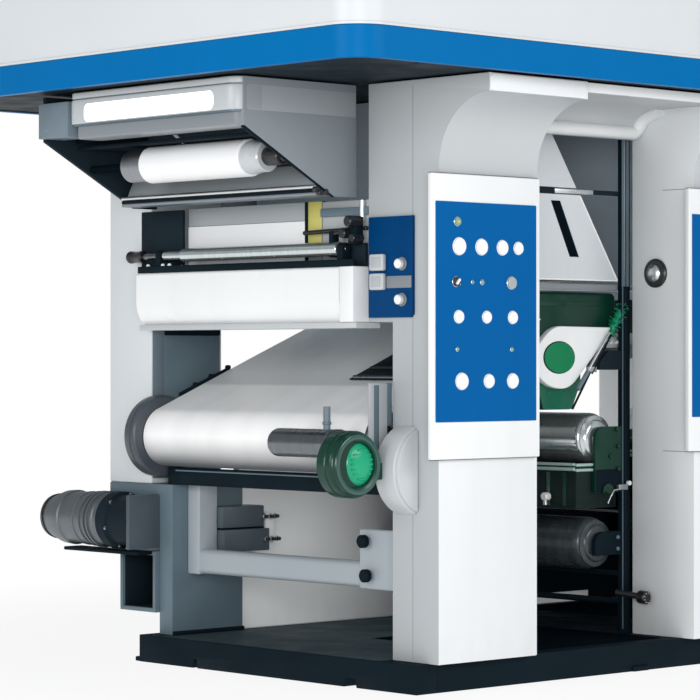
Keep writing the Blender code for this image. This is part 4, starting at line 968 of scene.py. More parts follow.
DRAW_LOW, DRAW_HIGH = local("draw_roller")
DRAW_X, DRAW_Z = middle("draw_roller").xz
DRAW_RADIUS = 0.111
DRUM_RADIUS = (DRAW_HIGH.z - DRAW_LOW.z) / 2
WEB_LOW, WEB_HIGH = local("web")
WEB_RADIUS = DRAW_RADIUS + 0.0035
WEB_END_Z = 1.328
WEB_RUN, WEB_RISE = WEB_HIGH.x - DRAW_X, WEB_END_Z - DRAW_Z
WEB_SLOPE = math.atan2(WEB_RISE, WEB_RUN) - math.asin(WEB_RADIUS / math.hypot(WEB_RUN, WEB_RISE))


def over(x, rise):
    """The height at x of a line that runs above the web's slope by the rise."""
    return DRAW_Z + (x - DRAW_X) * math.tan(WEB_SLOPE) + (WEB_RADIUS + rise) / math.cos(WEB_SLOPE)


def add_draw_roller():
    """Dark roller on a steel shaft, with a ribbed drum at the drive side and bolted ends."""
    start, end, last = WEB_LOW.y - 0.01, WEB_HIGH.y + 0.006, 1.594
    shaft = [(DRAW_LOW.y, 0), (DRAW_LOW.y, 0.030), (DRAW_HIGH.y, 0.030), (DRAW_HIGH.y, 0)]
    body = [(start, 0), (start, 0.078), (start + 0.004, 0.082), (start + 0.004, 0.098),
            (start, 0.102),
            (start, DRAW_RADIUS - 0.003), (start + 0.003, DRAW_RADIUS), (end, DRAW_RADIUS),
            (end, 0)]
    r = DRUM_RADIUS
    drum = [(end + 0.0002, 0), (end + 0.0002, r - 0.010), (end + 0.004, r - 0.003),
            (end + 0.010, r),
            (end + 0.024, r), (end + 0.026, r - 0.004), (end + 0.030, r - 0.004), (end + 0.032, r),
            (last - 0.012, r), (last - 0.003, r - 0.004), (last, r - 0.012), (last, 0.06),
            (last - 0.008, 0.055), (last - 0.008, 0)]
    roller = Piece("draw_roller_drum", "draw_roller", (DRAW_X, 0, DRAW_Z))
    for profile, material in ((shaft, STEEL), (body, DARK_STEEL), (drum, DRUM_SLATE)):
        roller.turn(profile, material, 96)
    bolts = arc((0, 0), 0.062, 20, 320, 5)
    roller.screws(bolts, start - 0.006, 0.008, 0.009, STEEL, 0.0015)
    roller.screws(bolts, last - 0.002, 0.009, 0.009, STEEL, 0.0015)
    roller.finish("draw_roller")


def add_web():
    """The web as a thin sheet under tension, with the finest troughs along its run."""
    normal = (-math.sin(WEB_SLOPE), math.cos(WEB_SLOPE))
    contact = WEB_RADIUS * normal[0]
    run = [WEB_RUN * (1 - i / 24) for i in range(25)]
    path = [(DRAW_X + x, over(DRAW_X + x, 0), normal) for x in run if x > contact]
    for x, z in arc((0, 0), WEB_RADIUS, math.degrees(WEB_SLOPE) + 90, 270, 48):
        path.append((DRAW_X + x, DRAW_Z + z, (x / WEB_RADIUS, z / WEB_RADIUS)))
    path.append((DRAW_X + 0.16, DRAW_Z - WEB_RADIUS, (0, -1)))
    columns, half, wave = 90, 0.0013, 0.0012
    shape = bmesh.new()
    sheets = []
    for side in (1, -1):
        rows = []
        for x, z, normal in path:
            free = min(1, max(0, (x - DRAW_X) / 0.5))
            row = []
            for j in range(columns + 1):
                y = WEB_LOW.y + (WEB_HIGH.y - WEB_LOW.y) * j / columns
                out = side * half + wave * free * math.sin(j * 0.42 + 1.3 * math.sin(x * 5))
                row.append(shape.verts.new((x + normal[0] * out, y, z + normal[1] * out)))
            rows.append(row)
        sheets.append(rows)
    for rows in sheets:
        for first, second in zip(rows, rows[1:]):
            add_strip(shape, first, second)
    top, low = sheets
    for end in (0, -1):
        add_strip(shape, top[end], low[end])
        add_strip(shape, [row[end] for row in top], [row[end] for row in low])
    bmesh.ops.recalc_face_normals(shape, faces=shape.faces)
    web = Piece("web_sheet")
    web.add(shape, FILM)
    web.finish("web", degrees=40)


def add_web_guards():
    """Bearing plate beside the draw roller, dark guard over the web's near edge, far edge rail."""
    near = END_DEPTH + 0.001
    plate = Piece("bearing_plate", at=(0, near, 0))
    plate.box((-0.108, 0, 0.80), (-0.0235, 0.011, 1.092), GREY_AND_SIDE_SHADE, 0.002)
    plate.box((-0.090, -0.0005, 0.81), (-0.064, 0.004, 1.085), SLATE, 0.001)
    plate.box((-0.0236, 0, 0.94), (-0.0006, 0.011, 1.092), SLATE, 0.002)
    plate.finish()

    guard = Piece("web_edge_guard")
    sheet = ((0.235, 0.006), (0.60, 0.006), (0.60, 0.010), (0.235, 0.010))
    guard.drawn([(x, over(x, rise)) for x, rise in sheet], "Y", near, 0.715, BLACK, 0.001)
    for x, radius, material in ((0.245, 0.008, DARK_STEEL), (0.33, 0.006, BLACK_PLASTIC),
                                (0.46, 0.008, STEEL)):
        z = over(x, 0.012)
        guard.rod((x, near + 0.001, z), (x, 0.70, z), radius, material)
    guard.finish()

    rail = Piece("web_edge_rail", at=(0, WEB_HIGH.y, 0))
    strip = ((0.088, -0.016), (0.34, -0.016), (0.34, 0.010), (0.088, 0.012))
    rail.drawn([(x, over(x, rise)) for x, rise in strip], "Y", 0.004, 0.018, BLACK, 0.002)
    rail.screws([(x, over(x, 0.010)) for x in (0.17, 0.25, 0.335)], 0.002, 0.020, 0.009, BLACK,
                0.002, 16)
    rail.finish()


def add_side_drive():
    """Pale boss on the column, green geared drive in front of it, dark motor behind."""
    low, high = local("side_boss")
    center, r = (0.055, 0.783), 0.166
    edge = center[0] - r - 0.0005
    half = math.degrees(math.acos((center[0] + 0.0004) / r))
    boss = Piece("side_boss_cover")
    boss.drawn(arc(center, r, 180 - half, 180 + half, 60), "Y", low.y + 0.012, high.y, BOSS_GREY,
               0.004, 3)
    raised = [(min(x, -0.0006), z) for x, z in arc(center, r - 0.010, 182 - half, 178 + half, 60)]
    boss.drawn(raised, "Y", low.y, low.y + 0.016, BOSS_GREY, 0.003)
    boss.finish("side_boss")

    low, high = local("drive_housing")
    r, far = 0.118, high.y - low.y
    x, z = low.x + r, (low.z + high.z) / 2
    drive = Piece("geared_drive", at=(x, low.y, z))
    drive.turn([(0.022, 0), (0.022, 0.078), (0.004, 0.083), (0.001, 0.090), (0.001, 0.104),
                (0.005, 0.109),
                (0.014, 0.110), (0.018, r - 0.003), (0.024, r), (0.040, r), (0.043, r - 0.004),
                (0.050, r - 0.004), (0.053, r), (far - 0.006, r), (far - 0.001, r - 0.006),
                (far, 0.09),
                (far, 0)], DARK_GREEN, 80)
    drive.ring([(0.0008, 0.089), (-0.0005, 0.093), (-0.0005, 0.101), (0.0008, 0.105)], RING_GREEN)
    dome = turned([(0.006, 0), (0.004, 0.020), (0.008, 0.036), (0.014, 0.052), (0.020, 0.062),
                   (0.0219, 0.064), (0.0219, 0)])
    bmesh.ops.scale(dome, vec=(1, 1, 1.16), verts=dome.verts)
    across = 0.026
    drive.add(moved(dome, (across, 0, 0)), BRIGHT_GREEN)
    for i in range(-3, 4):
        rise = 0.017 * i
        reach = 0.92 * math.sqrt(0.056 ** 2 - rise ** 2)
        drive.rod((across - reach, 0.010, rise), (across + reach, 0.010, rise), 0.0035,
                  BRIGHT_GREEN)
    drive.box((0.08, 0.012, 0.753 - z), (edge - x, 0.050, 0.813 - z), DARK_GREEN, 0.004)
    drive.finish("drive_housing")

    low, high = local("drive_motor")
    r, end, stub = 0.052, high.y - low.y, 0.320 - low.y
    motor = Piece("drive_motor_body", at=(x, low.y, (low.z + high.z) / 2))
    body = [(0, 0), (0, r), (0.02, r), (0.022, r - 0.004), (0.030, r - 0.004), (0.032, r - 0.001),
            (end - 0.032, r - 0.001)]
    body += [(end - 0.031 + out, r - 0.032 + wide) for wide,
             out in arc((0, 0), 0.031, 11.25, 90, 7)]
    motor.turn(body + [(end, 0)], DARK_STEEL)
    z = r - 0.006
    motor.rod((0, stub, z), (0, stub, z + 0.085), 0.013, MID_SLATE, 0.002)
    motor.rod((0, stub, z + 0.02), (0, stub, z + 0.032), 0.016, SLATE, 0.002)
    motor.finish("drive_motor")


def add_c_frame():
    low, high = local("c_frame")
    rail = Piece("c_frame_rail")
    rail.drawn(round_rectangle(0.08, 0.345, 0.14, 0.44, 0.022), "Y", low.y, 1.46, RAIL_GREY)
    rail.box((0.076, 1.40, 0.342), (0.17, 1.4697, high.z), RAIL_GREY, 0.006, 3)
    rail.box((0.074, low.y, 0.341), (0.10, 0.49, 0.56), RAIL_GREY, 0.008, 3)
    rail.finish("c_frame")
    knobs = Piece("c_frame_knobs")
    for y, z in ((0.445, 0.516), (0.432, 0.392)):
        knobs.rod((0.0738, y, z), (0.066, y, z), 0.014, STEEL, 0.002)
        knobs.rod((0.066, y, z), (0.038, y, z), 0.024, BLACK, 0.005)
    knobs.finish()


def add_valves():
    valves, w, d, h = from_corner("valve_boxes", "valve_block")
    step, edge = 0.088, w - 0.055
    valves.box((0, 0, 0), (edge, d, step - 0.001), BOX_SLATE, 0.004)
    valves.box((0, 0.01, step + 0.006), (edge - 0.02, d, h), BOX_SLATE, 0.004)
    valves.box((edge - 0.004, 0.02, 0.004), (w - 0.012, d, h - 0.03), COLUMN_GREY)
    valves.box((0.01, 0.03, step - 0.002), (w - 0.01, d, step + 0.007), BLACK, 0)
    for x in (w - 0.022, w - 0.048, w - 0.078):
        for y, z in ((0, 0.045), (0.01, step + 0.045)):
            valves.screws([(x, z)], y, -0.010, 0.011, STEEL)
            valves.screws([(x, z)], y - 0.010, -0.014, 0.007, BLACK_PLASTIC, 0.001, 32)
    valves.finish("valve_block")


def add_cable_box():
    """Open slate box with a darker lining."""
    box, w, d, h = from_corner("cable_box_shell", "cable_box")
    wall = 0.016
    for z in (0, h - wall):
        box.box((0, 0, z), (w, d, z + wall), SLATE, 0.002)
    for y in (0, d - wall):
        box.box((0, y, wall - 0.001), (w, y + wall, h - wall + 0.001), SLATE, 0.001)
    box.box((w - wall, 0.01, 0.01), (w, d - 0.01, h - 0.01), DARK_SLATE, 0.001)
    box.box((0.012, d - wall - 0.003, wall), (w - wall, d - wall + 0.002, h - wall), DARK_SLATE,
            0.001)
    box.box((0.012, wall - 0.002, wall - 0.002), (w - wall, d - wall, wall + 0.003), DARK_SLATE,
            0.001)
    box.finish("cable_box")


def add_side_motor():
    """Flanged motor with cooling ribs and a domed fan cover."""
    front, r = 1.5503, 0.112
    end = local("side_motor")[1].y - 0.062 - front
    motor = Piece("side_motor_body", at=(-0.05, front, 0.545))
    motor.ring([(end - 0.028, r - 0.030), (end - 0.028, r - 0.021), (end - 0.012, r - 0.024),
                (end - 0.012, r - 0.034)], BLACK_PLASTIC)
    motor.turn([(0.003, 0), (0.003, r - 0.012), (0.150, r - 0.012), (0.154, r - 0.004), (0.158, r),
                (0.200, r), (0.205, r - 0.006), (0.205, 0)], DARK_SLATE, 80)
    motor.turn([(0.2049, 0), (0.2049, r - 0.012), (0.235, r - 0.012), (0.240, r - 0.008),
                (end - 0.150, r - 0.008), (end - 0.145, r - 0.003), (end - 0.100, r - 0.006),
                (end - 0.050, r - 0.020), (end - 0.026, r - 0.026), (end - 0.024, r - 0.040),
                (end - 0.004, r - 0.044), (end, r - 0.048), (end, 0)], MOTOR_STEEL, 80)
    for y, top in ((0.262, r - 0.001), (0.285, r - 0.001), (0.315, r - 0.003), (0.36, r - 0.005)):
        motor.ring([(y - 0.006, r - 0.010), (y - 0.004, top), (y + 0.004, top),
                    (y + 0.006, r - 0.010)],
                   MOTOR_STEEL)
    motor.ring([(0.004, 0.040), (0.004, 0.085), (0.110, 0.078), (0.110, 0.040)], MOTOR_STEEL, 64)
    motor.screws(arc((0, 0), r - 0.010, 15, 315, 5), 0.146, 0.0085, 0.008, STEEL)
    motor.box((-0.10, 0, -0.105), (0.14, 0.02, 0.105), BOX_SLATE)
    motor.box((-0.045, 0.02, -r - 0.018), (0.045, 0.49, -r - 0.004), BLACK, 0.004)
    motor.finish("side_motor")


# Inside the bays


POST_LEFT = PITCH - 0.05
NEAR_POST = local("near_frame_1")[0].y
NEAR_BACK = local("near_frame_1")[1].y
FAR_POST = local("far_frame_1")[0].y
FAR_BACK = FAR_POST + NEAR_BACK - NEAR_POST
BAY_ROLLER_X, GRAVURE_Z = middle("gravure_cylinder_1").xz
GRAVURE_RADIUS = local("gravure_cylinder_1")[1].z - GRAVURE_Z
INK_Z = middle("ink_roller_1").z
INK_RADIUS = local("ink_roller_1")[1].z - INK_Z
PAN_LOW, PAN_HIGH = local("ink_pan_1")
CAM_X = POST_LEFT - 0.33
CAM_Z = 1.183
CAM_RADIUS = 0.12
LUG_BOTTOM = CAM_Z + 0.037
CARRIAGE_LOW, CARRIAGE_HIGH = local("blade_carriage_1")
DRYER_LOW, DRYER_HIGH = local("dryer_box_1")


def add_post(number, near):
    """Thin post with guide strips, green bearing plates and a slate bracket."""
    side, front, back = ("near", NEAR_POST, NEAR_BACK) if near else ("far", FAR_POST, FAR_BACK)
    left, pan = POST_LEFT, PAN_LOW.z
    post = Piece(f"{side}_post_{number + 1}", at=bay(number))
    post.box((left, front, PLINTH_TOP + 0.0003), (PITCH - 0.0003, back, UNDER_SOFFIT), BLACK, 0.002)
    for x, material in ((left + 0.003, SLATE), (left + 0.020, DARK_SLATE)):
        post.box((x, front - 0.003, PLINTH_TOP + 0.02), (x + 0.004, front + 0.001, SOFFIT - 0.02),
                 material,
                 0.001)
    if near:
        post.box((left + 0.001, front - 0.002, 1.46), (PITCH - 0.008, front + 0.001, SOFFIT - 0.03),
                 SLATE,
                 0.001)
        post.box((left + 0.012, front - 0.004, 1.50), (left + 0.016, front + 0.001, SOFFIT - 0.06),
                 STEEL,
                 0.001)
    x = BAY_ROLLER_X
    for z, foot, material in ((GRAVURE_Z, pan + 0.06, DARK_GREEN), (INK_Z, INK_Z - 0.045, BLACK)):
        outline = arc((x, z), 0.045, 90, 180, 14)
        outline += [(x - 0.045, foot), (left + 0.02, foot), (left + 0.02, z + 0.045)]
        post.drawn(outline, "Y", front + 0.0002, back - 0.0002, material, 0.002)
    post.box((x - 0.044, front - 0.0008, pan + 0.061), (left, back - 0.001, pan + 0.150), BLACK,
             0.002)
    y, out = (front - 0.001, -0.008) if near else (back + 0.001, 0.008)
    post.screws(((1.292, 0.905), (1.300, 0.838), (1.255, 0.80), (1.30, 0.75)), y, out, 0.009,
                DARK_GREEN)
    post.screws(((1.292, 0.485), (1.292, 0.440)), y, out, 0.008, SLATE)
    post.finish(f"{side}_frame_{number + 1}")


def add_near_bracket(number):
    """Slate stop plate beside the near post, and the rods that lead down from the cam."""
    inside = POST_LEFT + 0.02
    outline = [(1.195, 1.135), (inside, 1.135), (inside, 1.210), (1.245, 1.210), (1.195, 1.165)]
    bracket = Piece(f"stop_plate_{number + 1}", at=bay(number))
    bracket.drawn(outline, "Y", NEAR_POST - 0.0005, NEAR_BACK - 0.0005, DARK_SLATE, 0.003)
    y = NEAR_POST - 0.004
    front = y - 0.004
    bracket.rod((1.246, y, 1.280), (1.120, y, 1.128), 0.005, STEEL)
    bracket.rod((1.252, front, 1.272), (1.140, front, 1.120), 0.0035, BLACK)
    bracket.rod((1.140, y, 1.134), (1.034, y, 0.985), 0.0045, BLACK)
    bracket.rod((1.118, front, 1.130), (1.060, front, 1.060), 0.009, SLATE)
    bracket.box((1.128, y - 0.006, 1.126), (1.168, y + 0.012, 1.148), STEEL)
    bracket.finish()


def add_far_bracket(number):
    bracket = Piece(f"far_bracket_{number + 1}", at=bay(number) + Vector((CAM_X, 0, CAM_Z)))
    outline = [(-0.05, -0.06), (0.35, 0.02), (0.35, 0.147), (-0.05, 0.10)]
    bracket.drawn(outline, "Y", FAR_POST + 0.0002, FAR_BACK - 0.0002, SLATE, 0.003)
    bolts = ((0, 0.01), (0.12, 0.05), (0.24, 0.08))
    bracket.screws(bolts, FAR_BACK - 0.001, 0.009, 0.011, STEEL, 0.0015)
    bracket.finish()


def add_cam(number):
    """White teardrop plate with a green hub, its metal lug, and the green bristles over it."""
    tip = Vector((0.29, 0.109))
    aim = math.degrees(math.atan2(tip.y, tip.x))
    spread = math.degrees(math.acos(CAM_RADIUS / tip.length))
    outline = []
    for x, z in arc((0, 0), CAM_RADIUS - 0.0005, aim + spread, aim + 360 - spread, 56):
        swell = 0.30 * min(1, max(0, 1 - z / 0.09)) if x < 0 else 0
        outline.append((x * (1 + swell), z))
    outline += arc((tip.x - 0.010, tip.y - 0.001), 0.009, aim - 90, aim + 90, 8)[1:-1]
    near = (NEAR_POST + NEAR_BACK) / 2
    plate = Piece(f"cam_{number + 1}", at=bay(number) + Vector((CAM_X, near, CAM_Z)))
    plate.drawn(outline, "Y", 0, 0.0295, WHITE, 0.004, 3)
    for wide, tall, out, material in ((0.088, 0.0625, 0.002, BLACK),
                                      (0.084, 0.059, 0.005, HUB_GREEN)):
        oval = [(wide * x - 0.015, tall * z) for x, z in arc((0, 0), 1, 0, 354, 59)]
        plate.drawn(oval, "Y", -out, 0.003, material, 0.0015)
    plate.box((0.255, 0.0005, 0.037), (0.3294, 0.029, 0.082), STEEL, 0.004)
    plate.screws(((0.278, 0.059), (0.308, 0.059)), -0.006, 0.007, 0.009, BRIGHT_STEEL)
    plate.finish(f"cam_plate_{number + 1}")

    brush = Piece(f"bristles_{number + 1}", at=bay(number) + Vector((1.262, near + 0.004, 1.272)))
    draw = random.Random(7)
    reach = Vector((0.076, 0, 0.104))
    brush.rod((0, 0, 0), reach, 0.012, BRIGHT_GREEN)
    for i in range(220):
        foot = reach * draw.random()
        way = Vector((draw.uniform(-1, 1), draw.uniform(-1, 0.25), draw.uniform(-0.8, 1.0)))
        end = foot + way.normalized() * draw.uniform(0.018, 0.034)
        brush.rod(foot, end, 0.0013, BRIGHT_GREEN if i % 3 else GREEN, 0.0004, 5)
    brush.finish()


def add_carriage(number):
    """Dark green blade carriage with a clamp bar, its blade and a rounded lower lobe."""
    start, near, lobe = CARRIAGE_LOW
    end, far, top = CARRIAGE_HIGH
    x, z, lug = CAM_X, CAM_Z, LUG_BOTTOM
    plate = near + 0.05
    outline = [(start, top - 0.15), (start, top - 0.03), (start + 0.03, top), (end - 0.015, top),
               (end, top - 0.015), (end, lug + 0.01), (x + 0.14, lug + 0.01), (x + 0.14, z - 0.10),
               (x + 0.09, lobe), (x - 0.07, lobe), (x - CAM_RADIUS, z - 0.06)]
    beam = [(start + 0.002, top - 0.148), (start + 0.002, top - 0.032), (start + 0.03, top - 0.002),
            (end - 0.015, top - 0.002), (end - 0.002, top - 0.017), (end - 0.002, lug + 0.012),
            ((start + end) / 2, lug + 0.012)]
    raised = [(x + 0.138, lug), (x + 0.138, z - 0.099), (x + 0.089, lobe + 0.002),
              (x - 0.069, lobe + 0.002), (x - CAM_RADIUS + 0.003, z - 0.059)]
    blade = [(start - 0.0002, top - 0.145), (start + 0.012, top - 0.145),
             (start + 0.004, top - 0.19),
             (start + 0.001, top - 0.19)]
    carriage = Piece(f"carriage_{number + 1}", at=bay(number))
    carriage.drawn(outline, "Y", near + 0.0005, plate, DARK_GREEN, 0.008, 3)
    carriage.drawn(beam, "Y", plate - 0.004, far - 0.0005, DARK_GREEN, 0.004)
    carriage.drawn(raised, "Y", near + 0.0002, near + 0.004, GREEN)
    carriage.box((start + 0.06, near - 0.002, top - 0.052), (end - 0.09, near + 0.004, top - 0.034),
                 DARK_GREEN)
    carriage.drawn(blade, "Y", near + 0.02, far - 0.02, STEEL)
    carriage.finish(f"blade_carriage_{number + 1}")


def slant(z):
    """The x of the dryer's slanted right edge at a height."""
    start = DRYER_LOW.z + 0.012
    return POST_LEFT - 0.01 - 0.459 * max(0, z - start) / (SOFFIT - start)


def add_dryer(number):
    """Slanted dryer housing: lower door plate with its slot, upper plate and cross rail."""
    left, front, foot = DRYER_LOW
    top, split = SOFFIT - 0.0004, 1.807
    dryer = Piece(f"dryer_{number + 1}", at=bay(number) + Vector((0, front, 0)))
    core = [(left, foot + 0.002), (slant(foot) - 0.004, foot + 0.002),
            (slant(foot + 0.012) - 0.004, foot + 0.012), (slant(SOFFIT) - 0.004, top), (left, top)]
    dryer.drawn(core, "Y", 0.045, DRYER_HIGH.y - front, DRYER_SIDE, 0.002)
    slot = [(1.036, 1.569), (1.089, 1.569), (0.983, 1.782), (0.930, 1.782)]
    outer = [(left, foot), (slant(foot), foot), (slant(split), split), (left, split)]
    rings = [[(x, y, z) for x, z in loop] for y,
             loop in ((0, outer), (0, slot), (0.046, slot), (0.046, outer))]
    # The door plate in the darker grey: painted shade
    dryer.add(round_edges(lofted(rings, filled=False), 0.0015, 1), DRYER_SHADE_GREY)
    center = sum((Vector(corner) for corner in slot), Vector((0, 0))) / 4
    floor = [center + (Vector(corner) - center) * 1.03 for corner in slot]
    # A matt black floor inside the slot: painted shade in the recess
    dryer.drawn(floor, "Y", 0.003, 0.046, MATT_BLACK_AND_SHADE)
    seam = split + 0.026
    # The upper plate in the darker grey too: painted shade
    dryer.drawn([(left, seam), (slant(seam), seam), (slant(SOFFIT), top), (left, top)], "Y", 0.003,
                0.045,
                DRYER_SHADE_GREY, 0.002)
    dryer.tube([(slant(foot + 0.004) - 0.003, 0.001, foot + 0.004),
                (slant(split) - 0.003, 0.001, split - 0.002)], 0.0035, WHITE, 10)
    dryer.rod((left + 0.002, 0.001, foot + 0.003), (slant(foot) - 0.004, 0.001, foot + 0.003),
              0.0035, WHITE)
    z = split + 0.013
    dryer.box((left, 0.001, z - 0.014), (0.955, 0.03, z + 0.011), DARK_SLATE)
    dryer.box((0.955, 0.004, z - 0.009), (1.175, 0.026, z + 0.009), BRIGHT_STEEL)
    dryer.box((1.175, 0.003, z - 0.008), (POST_LEFT + 0.001, 0.009, z + 0.010), DARK_SLATE, 0.002)
    dryer.finish(f"dryer_box_{number + 1}")

    seal = Piece(f"dryer_seal_{number + 1}", at=bay(number) + Vector((0, front, 0)))
    z, right = CARRIAGE_HIGH.z, POST_LEFT - 0.012
    seal.box((left, 0.002, z + 0.004), (right, 0.050, foot - 0.012), SHADE_GREY, 0.004)
    seal.rod((left + 0.002, 0.001, z + 0.007), (right - 0.002, 0.001, z + 0.007), 0.003, STEEL)
    seal.finish()


def add_bay_rollers(number):
    """Chromed gravure cylinder and dark ink roller on their journals, with stepped ends."""
    near, far = NEAR_BACK + 0.020, FAR_POST - 0.022
    start, end = NEAR_POST + 0.003, FAR_BACK - 0.003
    for name, z, r, material in (("gravure_cylinder", GRAVURE_Z, GRAVURE_RADIUS, CHROME),
                                 ("ink_roller", INK_Z, INK_RADIUS, INK_RUBBER)):
        roller = Piece(f"{name}_turned_{number + 1}", f"{name}_{number + 1}",
                       bay(number) + Vector((BAY_ROLLER_X, 0, z)))
        roller.turn([(start, 0), (start, 0.026), (start + 0.002, 0.0298), (end - 0.002, 0.0298),
                     (end, 0.026), (end, 0)], STEEL, 48)
        cap = ((-0.012, 0.0299), (-0.012, r * 0.62), (-0.008, r * 0.70), (-0.002, r * 0.74),
               (0.002, r * 0.90), (0.004, r * 0.90), (0.004, 0.0299))
        for sign, edge in ((1, near), (-1, far)):
            roller.ring([(edge + sign * along, wide) for along, wide in cap], material, 72)
        tube = [(near + 0.0041, 0.031), (near + 0.0041, r * 0.74)]
        tube += [(near + 0.0381 - 0.034 * across, r * (0.74 + 0.26 * up))
                 for across, up in arc((0, 0), 1, 11.25, 90, 7)]
        tube += [(far - 0.055, r), (far - 0.0545, r - 0.0009), (far - 0.0525, r - 0.0009),
                 (far - 0.052, r), (far - 0.016, r), (far - 0.012, r - 0.0006),
                 (far - 0.007, r - 0.004),
                 (far - 0.0041, r - 0.010), (far - 0.0041, 0.031)]
        roller.ring(tube, material, 128)
        roller.finish(f"{name}_{number + 1}")


def add_pan(number):
    """Open ink trough with a bright rolled rim, ribs and a drain fitting."""
    w, d, h = PAN_HIGH - PAN_LOW
    wall, base, top = 0.012, 0.010, h - 0.004
    pan = Piece(f"ink_trough_{number + 1}", at=bay(number) + PAN_LOW)
    pan.box((0, 0, 0), (w, d, wall), PAN_GREEN, 0.002)
    for x in (0, w - wall):
        pan.box((x, 0, base), (x + wall, d, top), PAN_GREEN, 0.002)
    for y in (0, d - wall):
        pan.box((wall - 0.002, y, base), (w - wall + 0.002, y + wall, top), PAN_GREEN, 0.002)
    for x in (0.004, w - 0.004):
        pan.rod((x, 0.001, h - 0.005), (x, d - 0.001, h - 0.005), 0.0048, BRIGHT_STEEL)
    pan.rod((0.002, 0.005, h - 0.005), (w - 0.002, 0.005, h - 0.005), 0.0048, BRIGHT_STEEL)
    for z, radius in ((h - 0.004, 0.006), (h - 0.022, 0.007)):
        pan.rod((-0.002, 0.004, z), (-0.002, d - 0.004, z), radius, RIM_GREEN)
    for i in range(12):
        y = 0.05 + 0.085 * i
        pan.box((-0.005, y, base), (0.003, y + 0.016, h - 0.036),
                RING_GREEN if i % 3 == 1 else DARK_GREEN,
                0.002)
    pan.rod((-0.004, 0.14, 0.045), (-0.034, 0.14, 0.045), 0.016, WHITE_CAP, 0.003)
    pan.rod((-0.022, 0.14, 0.051), (-0.022, 0.14, 0.011), 0.010, STEEL)
    for z in (h - 0.006, h - 0.026):
        pan.rod((-0.002, -0.002, z), (w + 0.002, -0.002, z), 0.006, RIM_GREEN)
    pan.finish(f"ink_pan_{number + 1}")


def add_bay_small_parts(number):
    """Fittings between trough and ink roller, the lower cross bars, and the foot knob."""
    parts = Piece(f"bay_fittings_{number + 1}", at=bay(number))
    y = NEAR_POST - 0.002
    leaf = arc((1.235, 0.665), 0.030, 40, 200, 10) + arc((1.245, 0.690), 0.036, 220, 300, 6)
    parts.drawn(leaf, "Y", y - 0.008, y, DARK_GREEN, 0.002)
    parts.box((1.285, y - 0.016, 0.668), (1.340, y + 0.003, 0.690), STEEL, 0.004)
    parts.rod((1.345, y - 0.006, 0.694), (1.345, y - 0.022, 0.694), 0.009, WHITE_CAP, 0.002)
    bent = ((1.300, 0.672), (1.262, 0.668), (1.240, 0.640), (1.226, 0.618))
    parts.tube([(x, y - 0.010, z) for x, z in bent], 0.004, STEEL, 12)
    x = POST_LEFT + 0.010
    for z, radius, material in ((0.582, 0.0045, STEEL), (0.340, 0.010, BLACK),
                                (0.232, 0.012, BLACK)):
        parts.rod((x, NEAR_BACK, z), (x, FAR_POST, z), radius, material)
    x = POST_LEFT + 0.012
    parts.rod((x - 0.045, NEAR_POST + 0.002, 0.270), (x, 0.225, 0.256), 0.012, BLACK_PLASTIC)
    parts.rod((x, 0.245, 0.256), (x, 0.202, 0.253), 0.026, BLACK_PLASTIC, 0.006, 20)
    parts.screws(arc((x, 0.253), 0.019, 0, 320, 8), 0.206, -0.007, 0.0028, STEEL, 0.001, 10)
    parts.finish()


def add_column_knob(number):
    """Domed metal knob in a black ring, on the side of each column after the first."""
    knob = Piece(f"column_knob_{number + 1}", at=bay(number) + Vector((0, 0.189, 1.509)))
    outward = Matrix.Rotation(math.pi / 2, 3, "Z")
    for profile, material in (
        ([(0.0003, 0), (0.0003, 0.061), (0.003, 0.060), (0.003, 0)], WHITE),
        ([(0.003, 0), (0.003, 0.056), (0.010, 0.056), (0.015, 0.050), (0.015, 0)], BLACK_PLASTIC),
        ([(0.015, 0), (0.015, 0.034), (0.021, 0.033), (0.028, 0.026), (0.033, 0.014), (0.034, 0)],
         BRIGHT_STEEL),
    ):
        shape = turned(profile, 48)
        bmesh.ops.rotate(shape, verts=shape.verts, cent=(0, 0, 0), matrix=outward)
        knob.add(shape, material)
    knob.finish()


# Drive side and base


